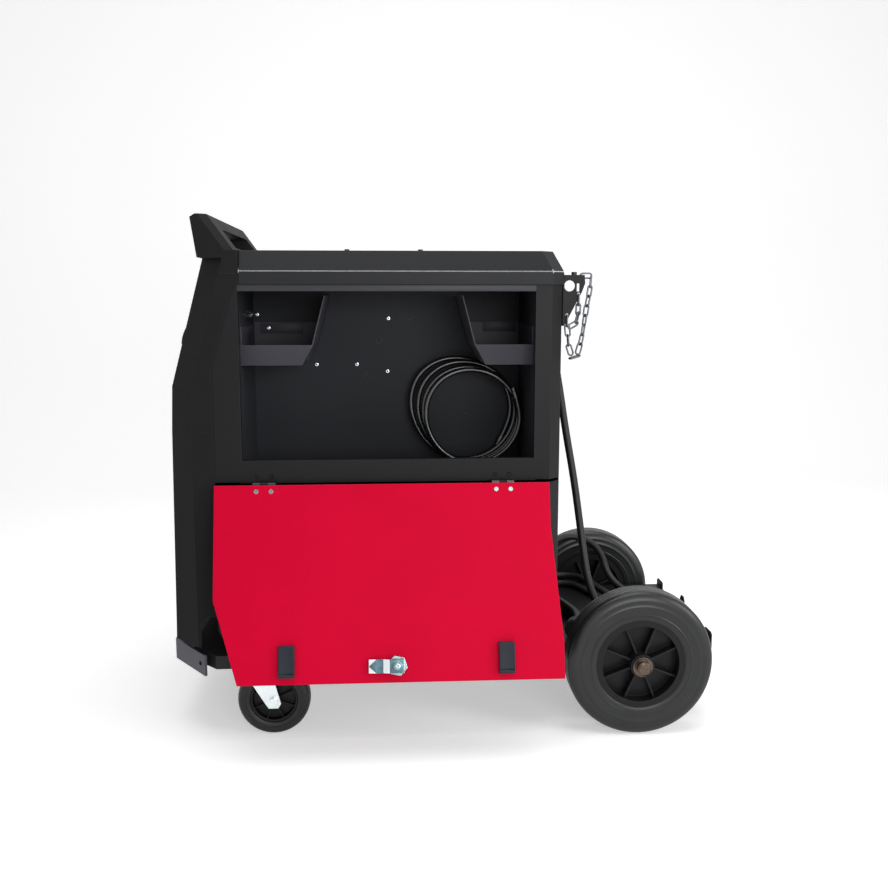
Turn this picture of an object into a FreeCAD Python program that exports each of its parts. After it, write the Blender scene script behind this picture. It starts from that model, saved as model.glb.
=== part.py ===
import FreeCAD, Part
import math
import os
from types import SimpleNamespace

import Sketcher
from FreeCAD import Placement, Rotation, Vector

# A wire-feed welder in a sheet-steel cabinet on its own running gear.
# Lengths are in millimetres. X runs from the front bezel to the cylinder platform, Z is up.
# The cabinet is drawn from the rear axle line (x), its mid-plane (y) and the ground (z).

DIMENSIONS = [
    # Running gear: ten inch rear wheels on a through axle, five inch swivel casters
    ("wheel_diameter", 254), ("wheel_width", 58), ("wheel_track", 438), ("rim_diameter", 156),
    ("rim_lip", 11), ("web_thickness", 4), ("hub_diameter", 40), ("hub_stand_out", 7),
    ("rib_thickness", 3), ("rib_set_back", 7), ("tyre_shoulder", 13),
    ("axle_diameter", 20), ("running_clearance", 0.05), ("washer_diameter", 34), ("washer_thickness", 2.5),
    ("cap_diameter", 24), ("cap_length", 13),
    ("caster_diameter", 125), ("caster_width", 37), ("caster_trail", 32), ("caster_from_axle", 662),
    ("caster_from_side", 38), ("caster_plate_length", 96), ("caster_plate_width", 66),
    ("caster_plate_thickness", 3), ("fork_sheet", 3), ("fork_gap", 2.5), ("caster_race_height", 8),
    ("caster_race_diameter", 46), ("crown_diameter", 56), ("crown_height", 7), ("kingpin_diameter", 12),
    ("caster_bolt_diameter", 10), ("caster_hub_diameter", 28),
    # Cabinet: overall places along the machine, and the heights of its edges
    ("cabinet_width", 456), ("axle_to_rear", 138), ("rear_corner_cut", 21), ("rear_post_width", 28),
    ("opening_length", 482), ("front_pillar_width", 45), ("front_pillar_top_width", 6),
    ("shell_inset", 3), ("sheet", 2), ("thin_sheet", 1.5), ("base_top", 151), ("base_flange", 23),
    ("base_inset", 2), ("base_from_bezel", 22), ("sill_above_hinge", 38), ("opening_top", 759),
    ("frame_top", 786), ("frame_tuck", 18), ("divider_from_middle", 3), ("liner_gap", 3),
    # Lid
    ("lid_bottom", 769.5), ("lid_crease", 791), ("lid_top", 824), ("lid_side_inset", 15),
    ("lid_rear_inset", 17), ("lid_gap", 1),
    # Moulded front: side face depth, corner cut, front lean, slope and heights
    ("bezel_side_depth", 36), ("bezel_corner_length", 40), ("bezel_corner_width", 50), ("bezel_foot_lean", 6),
    ("bezel_bottom", 168), ("bezel_seam", 531), ("bezel_knee", 603), ("pillar_bend", 634),
    ("bezel_lean_angle", 15.2), ("bezel_top", 787), ("bezel_wall", 2.8), ("knee_set_back", 3),
    ("notch_front", 5), ("notch_width", 44), ("notch_top", 221),
    ("socket_diameter", 42), ("socket_bore", 18), ("socket_length", 44), ("socket_lean", 35),
    # Handle moulded over the top of the front
    ("handle_top", 881), ("handle_front_reach", 9), ("handle_grip_width", 300), ("grip_gap_bottom", 830),
    ("grip_gap_height", 30), ("handle_wall", 3), ("handle_bevel_length", 12), ("handle_bevel_width", 20),
    # Bumper and cylinder carrier
    ("bumper_from_axle", 807), ("bumper_bottom", 117), ("bumper_height", 36), ("bumper_sheet", 3),
    ("bumper_flat_width", 274), ("bumper_wing_length", 66),
    ("platform_rear", 146), ("platform_width", 352), ("platform_top", 142), ("platform_depth", 55),
    ("platform_sheet", 2.5), ("corner_tab_height", 14), ("middle_tab_height", 28), ("tab_width", 24),
    ("bracket_width", 396), ("bracket_reach", 36), ("bracket_top", 786), ("bracket_depth", 84),
    ("bracket_sheet", 2.5), ("bracket_lip", 28), ("bracket_web", 14), ("bracket_hole", 18),
    # Doors, hinges and latches
    ("hinge_height", 446), ("hinge_stand_off", 9), ("door_open_angle", 165), ("door_sheet", 2),
    ("door_foot_gap", 2), ("door_height", 322), ("door_front_bend", 187), ("door_rear_bend_low", 75),
    ("door_rear_bend_high", 261), ("door_edge_gap", 1), ("door_rear_wing", 17), ("hinge_width", 37),
    ("hinge_leaf_height", 22), ("hinge_leaf_sheet", 1.5), ("knuckle_diameter", 7),
    ("hinge_pin_diameter", 3.5),
    ("middle_knuckle", 12.4), ("knuckle_gap", 0.4), ("front_hinge_from_opening", 36),
    ("rear_hinge_from_opening", 53), ("bumper_block_width", 26), ("bumper_block_height", 51),
    ("bumper_block_thickness", 9), ("bumper_block_in_front", 74), ("bumper_block_in_rear", 54),
    ("latch_height", 295), ("latch_from_opening", 231), ("barrel_diameter", 18), ("latch_nut_across", 29),
    ("latch_nut_thickness", 4), ("cam_length", 46), ("cam_width", 22), ("cam_sheet", 2.5), ("cam_step", 5),
    ("cam_screw_diameter", 12), ("cam_screw_height", 2.5), ("door_rear_margin", 4),
    # Trays in the tool bay
    ("tray_floor", 637), ("tray_lip_height", 34), ("tray_top", 752), ("front_tray_width", 100),
    ("rear_tray_width", 80), ("tray_low_spread", 19), ("tray_high_spread", 21), ("tray_lip_lean", 10),
    ("tray_from_middle", 180), ("tray_back_height", 67),
    # Wire drive side, cooling and power pieces
    ("spool_diameter", 300), ("spool_width", 103), ("spool_core_diameter", 212),
    ("spool_flange", 3), ("spool_wire_diameter", 272), ("spool_from_rear_post", 170), ("spool_height", 612),
    ("spindle_diameter", 50), ("fan_diameter", 150), ("fan_height", 270), ("fan_from_middle", 60),
    # Mains lead, gas hose and cylinder chain
    ("cord_diameter", 14), ("cord_height", 690), ("cord_exit_lean", 16.7), ("plug_diameter", 38),
    ("plug_length", 46), ("hose_diameter", 9), ("hose_coil_radius", 89), ("chain_wire", 3),
    ("chain_link_length", 22), ("chain_link_width", 11),
]

doc = FreeCAD.newDocument("welder_on_cart")
sheet_object = doc.addObject("Spreadsheet::Sheet", "Sizes")


class Size:
    """A length together with the sheet formula that gives it, so that one value draws and binds a piece."""

    def __init__(self, value, formula):
        self.value = value
        self.formula = formula

    def __add__(self, other):
        other = size_of(other)
        return Size(self.value + other.value, f"({self.formula} + {other.formula})")

    def __sub__(self, other):
        other = size_of(other)
        return Size(self.value - other.value, f"({self.formula} - {other.formula})")

    def __mul__(self, other):
        other = size_of(other)
        return Size(self.value * other.value, f"({self.formula} * {other.formula})")

    def __truediv__(self, other):
        other = size_of(other)
        return Size(self.value / other.value, f"({self.formula} / {other.formula})")

    def __neg__(self):
        return Size(-self.value, f"(0 - {self.formula})")

    __radd__ = __add__
    __rmul__ = __mul__

    def __rsub__(self, other):
        return size_of(other) - self


def size_of(number):
    return number if isinstance(number, Size) else Size(float(number), f"({float(number)})")


def sine(angle):
    return Size(math.sin(math.radians(angle.value)), f"sin({angle.formula})")


def cosine(angle):
    return Size(math.cos(math.radians(angle.value)), f"cos({angle.formula})")


def tangent(angle):
    return Size(math.tan(math.radians(angle.value)), f"tan({angle.formula})")


d = SimpleNamespace()
for row, (alias, value) in enumerate(DIMENSIONS, start=1):
    sheet_object.set(f"A{row}", alias)
    sheet_object.set(f"B{row}", str(value))
    sheet_object.setAlias(f"B{row}", alias)
    setattr(d, alias, Size(float(value), f"Sizes.{alias}"))
doc.recompute()

# Drawing aids: every outline point, hole and depth below is bound to the sheet

MITER = math.tan(math.radians(22.5))
AXIS_OF_PLANE = {"XY": 1, "XZ": -1, "YZ": 1}
parts = []


def origin_part(body, role):
    return next(item for item in body.Origin.OriginFeatures if item.Role == role)


def new_body(label):
    body = doc.addObject("PartDesign::Body", label)
    body.Label = label
    return body


def rect(low_x, low_y, high_x, high_y):
    return [(low_x, low_y), (high_x, low_y), (high_x, high_y), (low_x, high_y)]


def disc(x, y, radius):
    return (x, y, size_of(radius))


def bind(sketch, kind, first, first_point, second, second_point, size):
    size = size_of(size)
    number = sketch.addConstraint(Sketcher.Constraint(kind, first, first_point, second, second_point,
                                                      size.value))
    sketch.setExpression(f"Constraints[{number}]", size.formula)


def draw(sketch, shape):
    """Adds a closed outline from a list of points, or a circle from a tuple of centre and radius."""
    first = sketch.GeometryCount
    if isinstance(shape, tuple):
        x, y, radius = (size_of(item) for item in shape)
        sketch.addGeometry(Part.Circle(Vector(x.value, y.value, 0), Vector(0, 0, 1), radius.value))
        bind(sketch, "DistanceX", -1, 1, first, 3, x)
        bind(sketch, "DistanceY", -1, 1, first, 3, y)
        number = sketch.addConstraint(Sketcher.Constraint("Radius", first, radius.value))
        sketch.setExpression(f"Constraints[{number}]", radius.formula)
        return
    points = [(size_of(x), size_of(y)) for x, y in shape]
    corners = [Vector(x.value, y.value, 0) for x, y in points]
    count = len(corners)
    for index in range(count):
        sketch.addGeometry(Part.LineSegment(corners[index], corners[(index + 1) % count]))
    for index, (x, y) in enumerate(points):
        following = (index + 1) % count
        sketch.addConstraint(Sketcher.Constraint("Coincident", first + index, 2, first + following, 1))
        bind(sketch, "DistanceX", -1, 1, first + index, 1, x)
        bind(sketch, "DistanceY", -1, 1, first + index, 1, y)


def new_sketch(body, plane, start, *shapes):
    sketch = body.newObject("Sketcher::SketchObject", body.Label + "_outline")
    sketch.AttachmentSupport = (origin_part(body, plane + "_Plane"), [""])
    sketch.MapMode = "FlatFace"
    offset = size_of(start) * AXIS_OF_PLANE[plane]
    sketch.setExpression("AttachmentOffset.Base.z", offset.formula)
    for shape in shapes:
        draw(sketch, shape)
    return sketch


def pad(body, plane, start, length, *shapes):
    """Adds material from start, over length, along the plane's axis."""
    feature = body.newObject("PartDesign::Pad", body.Label + "_pad")
    feature.Profile = new_sketch(body, plane, start, *shapes)
    feature.setExpression("Length", size_of(length).formula)
    feature.Reversed = plane == "XZ"
    return feature


def pocket(body, plane, start, length, *shapes):
    """Cuts material from start, over length, along the plane's axis."""
    feature = body.newObject("PartDesign::Pocket", body.Label + "_pocket")
    feature.Profile = new_sketch(body, plane, start, *shapes)
    feature.setExpression("Length", size_of(length).formula)
    feature.Reversed = plane != "XZ"
    return feature


def turn(body, kind, plane, axis, *shapes):
    """Revolves an outline about the plane's first (H) or second (V) axis."""
    feature = body.newObject("PartDesign::" + kind, body.Label + "_turned")
    sketch = new_sketch(body, plane, 0, *shapes)
    feature.Profile = sketch
    feature.ReferenceAxis = (sketch, [axis + "_Axis"])
    feature.Angle = 360
    return feature


def loft(body, kind, levels):
    """Joins outlines at several heights by straight-sided walls."""
    sketches = [new_sketch(body, "XY", height, shape) for height, shape in levels]
    feature = body.newObject("PartDesign::" + kind, body.Label + "_loft")
    feature.Profile = sketches[0]
    feature.Sections = sketches[1:]
    feature.Ruled = True
    return feature


def around(body, feature, role, count):
    pattern = body.newObject("PartDesign::PolarPattern", body.Label + "_pattern")
    pattern.Originals = [feature]
    pattern.Axis = (origin_part(body, role), [""])
    pattern.Angle = 360
    pattern.Occurrences = count
    body.Tip = pattern
    return pattern


def place(piece, x=0, y=0, z=0, axis=None, angle=0):
    """Moves a piece from its own drawing frame to its place on the machine."""
    if axis:
        piece.Placement = Placement(Vector(0, 0, 0), Rotation(Vector(*axis), 1))
        piece.setExpression("Placement.Rotation.Angle", size_of(angle).formula)
    piece.setExpression("Placement.Base.x", (size_of(x) + origin_x).formula)
    piece.setExpression("Placement.Base.y", (size_of(y) + origin_y).formula)
    piece.setExpression("Placement.Base.z", size_of(z).formula)
    return piece


def keep(piece, **where):
    """Names a piece as one of the finished sub-parts, at its place."""
    place(piece, **where)
    parts.append(piece)
    return piece


def group(label, pieces):
    """Like pieces that share one sub-part, each a solid of its own."""
    together = doc.addObject("Part::Compound", label)
    together.Label = label
    together.Links = pieces
    return together


def cylinder(label, radius, height, at=(0, 0, 0), axis=(0, 0, 1)):
    piece = doc.addObject("Part::Cylinder", label)
    piece.Placement = Placement(Vector(0, 0, 0), Rotation(Vector(0, 0, 1), Vector(*axis)))
    piece.setExpression("Radius", size_of(radius).formula)
    piece.setExpression("Height", size_of(height).formula)
    for name, value in zip("xyz", at):
        piece.setExpression(f"Placement.Base.{name}", size_of(value).formula)
    return piece


def joined(label, pieces):
    piece = doc.addObject("Part::MultiFuse", label)
    piece.Shapes = pieces
    piece.Label = label
    return piece


def mirrored(label, source):
    """The same piece on the other side of the machine's mid-plane, drawn before placing."""
    piece = doc.addObject("Part::Mirroring", label)
    piece.Source = source
    piece.Normal = Vector(0, 1, 0)
    piece.Label = label
    return piece


# Places that several pieces share

half = d.cabinet_width / 2
rear = -d.axle_to_rear
side_rear = rear - d.rear_corner_cut
opening_rear = side_rear - d.rear_post_width
opening_front = opening_rear - d.opening_length
pillar_front = opening_front - d.front_pillar_width
pillar_front_top = opening_front - d.front_pillar_top_width
lid_front = opening_front + d.liner_gap
bezel_side_front = pillar_front - d.bezel_side_depth
bezel_front = bezel_side_front - d.bezel_corner_length
shell_half = half - d.shell_inset
shell_rear = rear - d.shell_inset
wheel_radius = d.wheel_diameter / 2
wheel_y = d.wheel_track / 2
hinge_y = shell_half + d.hinge_stand_off
base_underside = d.base_top - d.sheet
bay_floor = d.hinge_height
sill_height = d.hinge_height + d.sill_above_hinge
notch_x = bezel_side_front + d.notch_front + d.notch_width / 2
notch_z = d.notch_top - d.notch_width / 2

# The origin is under the middle of the machine as it stands with its tool door hanging open.
# The open door and its latch reach further out than the axle cap on the other side does.
skin_out = d.hinge_stand_off - d.shell_inset
skin_in = skin_out + d.door_sheet
cam_hub = skin_in + d.latch_nut_thickness + d.cam_step
cam_face = cam_hub + d.cam_sheet + d.cam_screw_height
axle_end = wheel_y + d.wheel_width / 2 + d.hub_stand_out + d.washer_thickness + d.cap_length + 0.5
latch_end = (hinge_y + (d.latch_height + d.cam_screw_diameter / 2) * sine(d.door_open_angle)
             - cam_face * cosine(d.door_open_angle))
origin_x = (d.bumper_from_axle - d.platform_rear) / 2
origin_y = (latch_end - axle_end) / 2


# Wheels and axle

def rear_wheel(side, y):
    tyre = new_body(side + "_tyre")
    width = d.wheel_width
    inner = d.rim_diameter / 2
    bead = inner - 4
    turn(tyre, "Revolution", "XY", "V", [
        (bead, -width / 2 + 9), (inner, -width / 2 + 3), (inner + 16, -width / 2 + 1),
        (wheel_radius - d.tyre_shoulder, -width / 2), (wheel_radius - 4, -width / 2 + 5),
        (wheel_radius, -width / 2 + d.tyre_shoulder), (wheel_radius, width / 2 - d.tyre_shoulder),
        (wheel_radius - 4, width / 2 - 5), (wheel_radius - d.tyre_shoulder, width / 2),
        (inner + 16, width / 2 - 1), (inner, width / 2 - 3), (bead, width / 2 - 9)])
    keep(tyre, y=y, z=wheel_radius)

    rim = new_body(side + "_rim")
    lip = inner - d.rim_lip
    web = d.web_thickness / 2
    hub = d.hub_diameter / 2
    bore = d.axle_diameter / 2 + d.running_clearance
    face = width / 2 - 3.5
    hub_face = width / 2 + d.hub_stand_out
    turn(rim, "Revolution", "XY", "V", [
        (bore, -hub_face), (hub, -hub_face), (hub, -web), (lip, -web), (lip, -face),
        (inner - 0.8, -face), (inner - 4.8, -width / 2 + 9.5), (inner - 4.8, width / 2 - 9.5),
        (inner - 0.8, face), (lip, face), (lip, web), (hub, web), (hub, hub_face), (bore, hub_face)])
    rib_height = face - d.rib_set_back
    rib = pad(rim, "XY", -d.rib_thickness / 2, d.rib_thickness,
              [(hub - 2, -rib_height - 4), (lip + 2, -rib_height), (lip + 2, rib_height),
               (hub - 2, rib_height + 4)])
    doc.recompute()
    around(rim, rib, "Y_Axis", 8)
    keep(rim, y=y, z=wheel_radius, axis=(0, 1, 0), angle=22.5)


rear_wheel("near", -wheel_y)
rear_wheel("far", wheel_y)

hub_end = wheel_y + d.wheel_width / 2 + d.hub_stand_out
axle = cylinder("axle_shaft", d.axle_diameter / 2, (hub_end + d.washer_thickness + 8) * 2,
                at=(0, -hub_end - d.washer_thickness - 8, 0), axis=(0, 1, 0))
axle.Label = "axle"
parts.append(axle)
axle.setExpression("Placement.Base.x", origin_x.formula)
axle.setExpression("Placement.Base.y", (origin_y - hub_end - d.washer_thickness - 8).formula)
axle.setExpression("Placement.Base.z", wheel_radius.formula)

caps = []
for label, way in (("near_axle_cap", -1), ("far_axle_cap", 1)):
    cap = new_body(label)
    start = hub_end + 0.5
    washer_end = start + d.washer_thickness
    bore = d.axle_diameter / 2 + 0.1
    shaft_end = hub_end + d.washer_thickness + 8.2
    cap_radius = d.cap_diameter / 2
    turn(cap, "Revolution", "XY", "V", [
        (bore, start * way), (d.washer_diameter / 2, start * way), (d.washer_diameter / 2, washer_end * way),
        (cap_radius, washer_end * way), (cap_radius, (washer_end + d.cap_length - 3) * way),
        (cap_radius - 3, (washer_end + d.cap_length) * way), (0, (washer_end + d.cap_length) * way),
        (0, shaft_end * way), (bore, shaft_end * way)])
    caps.append(cap)
keep(group("axle_caps", caps), z=wheel_radius)


# Swivel casters under the front of the base

def caster(side, y):
    plate_bottom = base_underside - d.caster_plate_thickness
    race_bottom = plate_bottom - d.caster_race_height
    crown_top = race_bottom - 0.5
    crown_bottom = crown_top - d.crown_height
    wheel_centre = d.caster_diameter / 2
    leg_in = d.caster_width / 2 + d.fork_gap
    pin = d.kingpin_diameter / 2

    plate = new_body(side + "_caster_plate")
    pad(plate, "XY", plate_bottom, d.caster_plate_thickness,
        rect(-d.caster_plate_length / 2, -d.caster_plate_width / 2, d.caster_plate_length / 2,
             d.caster_plate_width / 2),
        *[disc(sx * (d.caster_plate_length / 2 - 11), sy * (d.caster_plate_width / 2 - 11), 4.5)
          for sx in (Size(1, "1"), Size(-1, "-1")) for sy in (Size(1, "1"), Size(-1, "-1"))])
    pad(plate, "XY", race_bottom, d.caster_race_height, disc(0, 0, d.caster_race_diameter / 2))
    pad(plate, "XY", crown_bottom - 5, d.caster_race_height + d.crown_height + 5.5, disc(0, 0, pin))
    pad(plate, "XY", crown_bottom - 5, 4, disc(0, 0, pin + 4))
    place_at = dict(x=-d.caster_from_axle, y=y)

    fork = new_body(side + "_fork_pressing")
    pad(fork, "XY", crown_bottom, d.crown_height, disc(0, 0, d.crown_diameter / 2),
        disc(0, 0, pin + d.running_clearance))
    for start in (-leg_in - d.fork_sheet, leg_in):
        pad(fork, "XZ", start, d.fork_sheet, [
            (-d.crown_diameter / 2 + 6, crown_top), (-d.crown_diameter / 2 + 6, crown_top - 12),
            (d.caster_trail - 14, wheel_centre - 3), (d.caster_trail - 8, wheel_centre - 12),
            (d.caster_trail + 8, wheel_centre - 12), (d.caster_trail + 13, wheel_centre - 4),
            (d.crown_diameter / 2 + 1, crown_top - 18), (d.crown_diameter / 2 - 6, crown_top - 11),
            (d.crown_diameter / 2 - 6, crown_top)])
    pocket(fork, "XZ", -leg_in - d.fork_sheet - 1, (leg_in + d.fork_sheet + 1) * 2,
           disc(d.caster_trail, wheel_centre, d.caster_bolt_diameter / 2 + 0.1))
    bolt = new_body(side + "_caster_bolt")
    shank = leg_in + d.fork_sheet
    pad(bolt, "XZ", -shank - 6, shank * 2 + 12, disc(d.caster_trail, wheel_centre,
                                                     d.caster_bolt_diameter / 2))
    pad(bolt, "XZ", -shank - 6, 5.8, disc(d.caster_trail, wheel_centre, 8))
    pad(bolt, "XZ", shank + 0.2, 7, disc(d.caster_trail, wheel_centre, 8))
    keep(group(side + "_caster_fork", [fork, bolt]), **place_at)

    tread = new_body(side + "_caster_tread")
    radius = d.caster_diameter / 2
    width = d.caster_width
    core = radius - 20
    turn(tread, "Revolution", "XY", "V", [
        (core, -width / 2 + 4), (core + 3, -width / 2 + 1.5), (radius - 9, -width / 2),
        (radius - 3, -width / 2 + 4),
        (radius, -width / 2 + 10), (radius, width / 2 - 10), (radius - 3, width / 2 - 4),
        (radius - 9, width / 2),
        (core + 3, width / 2 - 1.5), (core, width / 2 - 4)])
    centre = new_body(side + "_caster_centre")
    hub = d.caster_hub_diameter / 2
    bore = d.caster_bolt_diameter / 2 + d.running_clearance
    turn(centre, "Revolution", "XY", "V", [
        (bore, -width / 2), (hub, -width / 2), (hub, -3), (core - 6, -3), (core - 6, -width / 2 + 5),
        (core - 0.2, -width / 2 + 5), (core - 0.2, width / 2 - 5), (core - 6, width / 2 - 5), (core - 6, 3),
        (hub, 3), (hub, width / 2), (bore, width / 2)])
    wheel = group(side + "_caster_wheel", [tread, centre])
    keep(wheel, x=-d.caster_from_axle + d.caster_trail, y=y, z=radius)
    return place(plate, **place_at)


caster_y = half - d.caster_from_side
plates = [caster("near", -caster_y), caster("far", caster_y)]
caster_plates = group("caster_plates", plates)
parts.append(caster_plates)


# Base pan, bumper and cylinder platform

def plan_outline(inset, front, corner_front):
    """The cabinet's plan, with its cut corners, drawn in by an inset."""
    side = half - inset
    shift = inset * MITER
    back = rear - inset
    cut_x = side_rear - shift
    cut_y = half - d.rear_corner_cut - shift
    nose_y = half - d.bezel_corner_width - shift
    return [(front, -nose_y), (corner_front, -side), (cut_x, -side), (back, -cut_y),
            (back, cut_y), (cut_x, side), (corner_front, side), (front, nose_y)]


base_front = bezel_front + d.base_from_bezel
base_corner = bezel_side_front + d.base_from_bezel + 6
base = new_body("base_pan")
pad(base, "XY", d.base_top - d.base_flange, d.base_flange,
    plan_outline(d.base_inset, base_front, base_corner))
pocket(base, "XY", d.base_top - d.base_flange, d.base_flange - d.sheet,
       plan_outline(d.base_inset + d.sheet, base_front + d.sheet, base_corner + d.sheet * MITER))
pocket(base, "XY", base_underside - 1, d.sheet + 2,
       *[rect(-d.caster_from_axle + 160 + 60 * step, -70, -d.caster_from_axle + 190 + 60 * step, 70)
         for step in range(3)])
keep(base)

bumper = new_body("front_bumper")
nose = -d.bumper_from_axle
flat = d.bumper_flat_width / 2
wing = nose + d.bumper_wing_length
thick = d.bumper_sheet
pad(bumper, "XY", d.bumper_bottom, d.bumper_height, [
    (nose, -flat), (wing, -half), (wing + thick * 1.2, -half + thick * 0.6),
    (nose + thick, -flat + thick * 0.4),
    (nose + thick, flat - thick * 0.4), (wing + thick * 1.2, half - thick * 0.6), (wing, half), (nose, flat)])
for way in (Size(-1, "-1"), Size(1, "1")):
    pad(bumper, "XY", d.base_top - d.base_flange, d.base_flange - 3,
        rect(nose + thick - 0.5, way * 100 - 20, base_front, way * 100 + 20))
pad(bumper, "XY", d.base_top - 3, 3, rect(nose + thick - 0.5, -flat + 7, base_front, flat - 7))
keep(bumper)

platform = new_body("cylinder_platform")
deck = d.platform_width / 2
skin = d.platform_sheet
deck_front = shell_rear + d.shell_inset - 1
pad(platform, "XY", d.platform_top - d.platform_depth, d.platform_depth,
    rect(deck_front, -deck, d.platform_rear, deck))
pocket(platform, "XY", d.platform_top - d.platform_depth, d.platform_depth - skin,
       rect(deck_front + skin, -deck + skin, d.platform_rear - skin, deck - skin))
pocket(platform, "XZ", -deck - 1, deck * 2 + 2, disc(0, wheel_radius, d.axle_diameter / 2 + 0.2))
tab = d.tab_width / 2
tab_top = d.platform_top + d.middle_tab_height
corner_top = d.platform_top + d.corner_tab_height
pad(platform, "YZ", d.platform_rear - skin, skin,
    [(-tab, d.platform_top - 2), (tab, d.platform_top - 2), (tab, tab_top - 8), (tab - 6, tab_top),
     (-tab + 6, tab_top), (-tab, tab_top - 8)],
    disc(0, tab_top - 10, 4))
for way in (Size(-1, "-1"), Size(1, "1")):
    pad(platform, "YZ", d.platform_rear - skin, skin,
        [(way * (deck - d.tab_width * 1.6), d.platform_top - 2), (way * deck, d.platform_top - 2),
         (way * deck, corner_top - 4), (way * (deck - 5), corner_top),
         (way * (deck - d.tab_width * 1.6 + 5), corner_top), (way * (deck - d.tab_width * 1.6),
                 corner_top - 4)])
keep(platform)


# Sheet-steel shell: side frames round the two bay openings, lower side panels, rear panel and lid

def side_sheet(body, low, high, front):
    """One folded side sheet: flat along the side, turned in along the cut rear corner."""
    turn_x = side_rear - d.shell_inset * MITER
    turn_y = half - d.rear_corner_cut - d.shell_inset * MITER
    skin = d.sheet
    pad(body, "XY", low, high - low, [
        (front, -shell_half), (turn_x, -shell_half), (shell_rear, -turn_y),
        (shell_rear - skin * math.sqrt(2), -turn_y), (turn_x - skin * MITER, -shell_half + skin),
        (front, -shell_half + skin)])


def side_frame():
    body = new_body("near_side_frame_shape")
    front = pillar_front - d.frame_tuck
    low = d.hinge_height + d.door_foot_gap
    side_sheet(body, low, d.frame_top, front)
    pocket(body, "XZ", -shell_half - 1, d.sheet + 2,
           rect(opening_front, sill_height, opening_rear, d.opening_top))
    top_front = pillar_front_top - d.frame_tuck
    pocket(body, "XZ", -shell_half - 1, d.sheet + 2,
           [(front - 2, d.pillar_bend + 6), (front, d.pillar_bend + 6), (top_front, d.lid_bottom + 2),
            (top_front, d.frame_top + 2), (front - 2, d.frame_top + 2)])
    lip = 10
    for x in (opening_front - d.sheet, opening_rear):
        pad(body, "XY", sill_height, d.opening_top - sill_height,
            rect(x, -shell_half + d.sheet - 0.5, x + d.sheet, -shell_half + d.sheet + lip))
    pad(body, "XY", sill_height - d.sheet, d.sheet,
        rect(opening_front - d.sheet, -shell_half + d.sheet - 0.5, opening_rear + d.sheet,
             -shell_half + d.sheet + lip))
    for hinge in hinge_places:
        pocket(body, "XZ", -shell_half - 1, d.sheet + 2,
               *[disc(hinge + way * 12, d.hinge_height + 12, 3.2) for way in (Size(-1, "-1"), Size(1, "1"))])
    return body


hinge_places = (opening_front + d.front_hinge_from_opening, opening_rear - d.rear_hinge_from_opening)
near_frame = side_frame()
near_frame.Label = "tool_side_frame"
far_frame = mirrored("wire_side_frame", near_frame)


def lower_panel():
    body = new_body("tool_side_panel")
    side_sheet(body, d.base_top, d.hinge_height - 3, pillar_front - d.frame_tuck)
    slots = []
    for row in range(6):
        low = d.base_top + 60 + 14 * row
        for start in (opening_front + 70, opening_rear - 190):
            slots.append(rect(start, low, start + 120, low + 5))
    pocket(body, "XZ", -shell_half - 1, d.sheet + 2, *slots)
    cut = d.notch_width / 2 + 1
    pocket(body, "XZ", -shell_half - 1, d.sheet + 2, disc(notch_x, notch_z, cut))
    pocket(body, "XZ", -shell_half - 1, d.sheet + 2, rect(notch_x - cut, d.base_top - 1, notch_x + cut,
                                                          notch_z))
    # The tuck behind the moulded front stops above the lead socket, clear of a plug on its way in.
    pocket(body, "XZ", -shell_half - 1, d.sheet + 2,
           rect(pillar_front - d.frame_tuck - 1, d.base_top - 1, pillar_front - 1, d.notch_top + 80))
    return body


near_panel = lower_panel()
far_panel = mirrored("wire_side_panel", near_panel)
for piece in (near_frame, near_panel):
    keep(piece)
for piece in (far_frame, far_panel):
    piece.setExpression("Base.y", origin_y.formula)
    parts.append(piece)

rear_sheet = new_body("rear_panel")
rear_half = half - d.rear_corner_cut - d.shell_inset * MITER - 0.3
fan_radius = d.fan_diameter / 2
pad(rear_sheet, "YZ", shell_rear - d.sheet, d.sheet, rect(-rear_half, d.base_top, rear_half, d.frame_top),
    disc(-d.fan_from_middle, d.fan_height, fan_radius + 4), disc(0, 690, 13.2), disc(120, 520, 8.2))
keep(rear_sheet)

lid = new_body("lid")


def lid_outline(side_inset, rear_inset, front_inset, cut_shift):
    side = half - side_inset
    back = rear - rear_inset
    cut = d.rear_corner_cut + cut_shift
    return [(lid_front + front_inset, -side), (back - cut, -side), (back, -side + cut),
            (back, side - cut), (back - cut, side), (lid_front + front_inset, side)]


wall = d.thin_sheet
loft(lid, "AdditiveLoft", [
    (d.lid_bottom, lid_outline(0, 0, 0, 0)), (d.lid_crease, lid_outline(0, 0, 0, 0)),
    (d.lid_top, lid_outline(d.lid_side_inset, d.lid_rear_inset, 0, 0))])
loft(lid, "SubtractiveLoft", [
    (d.lid_bottom, lid_outline(wall, wall, -1, -wall * 0.59)),
    (d.lid_crease, lid_outline(wall, wall, -1, -wall * 0.59)),
    (d.lid_top - wall, lid_outline(d.lid_side_inset + wall * 0.4, d.lid_rear_inset + wall * 0.4, -1,
                                   -wall * 0.59))])
keep(lid)

# Divider between the bays, bay liners and trays

divider = new_body("centre_divider")
divider_face = -d.divider_from_middle
inner_front = pillar_front + 10
pad(divider, "XZ", divider_face, d.thin_sheet,
    rect(inner_front, bay_floor + 2, shell_rear - d.sheet - 0.3, d.frame_top - 1))
dimple_places = [(280, 45), (225, 88), (197, 149), (383, 230)]
pad(divider, "XZ", divider_face - 1, 1.2,
    *[disc(opening_front + x, d.opening_top - below, 6) for x, below in dimple_places])
pocket(divider, "XZ", divider_face - 1, d.thin_sheet + 2,
       rect(shell_rear - 24, d.cord_height - 25, shell_rear, d.cord_height + 25))
keep(divider)

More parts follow.
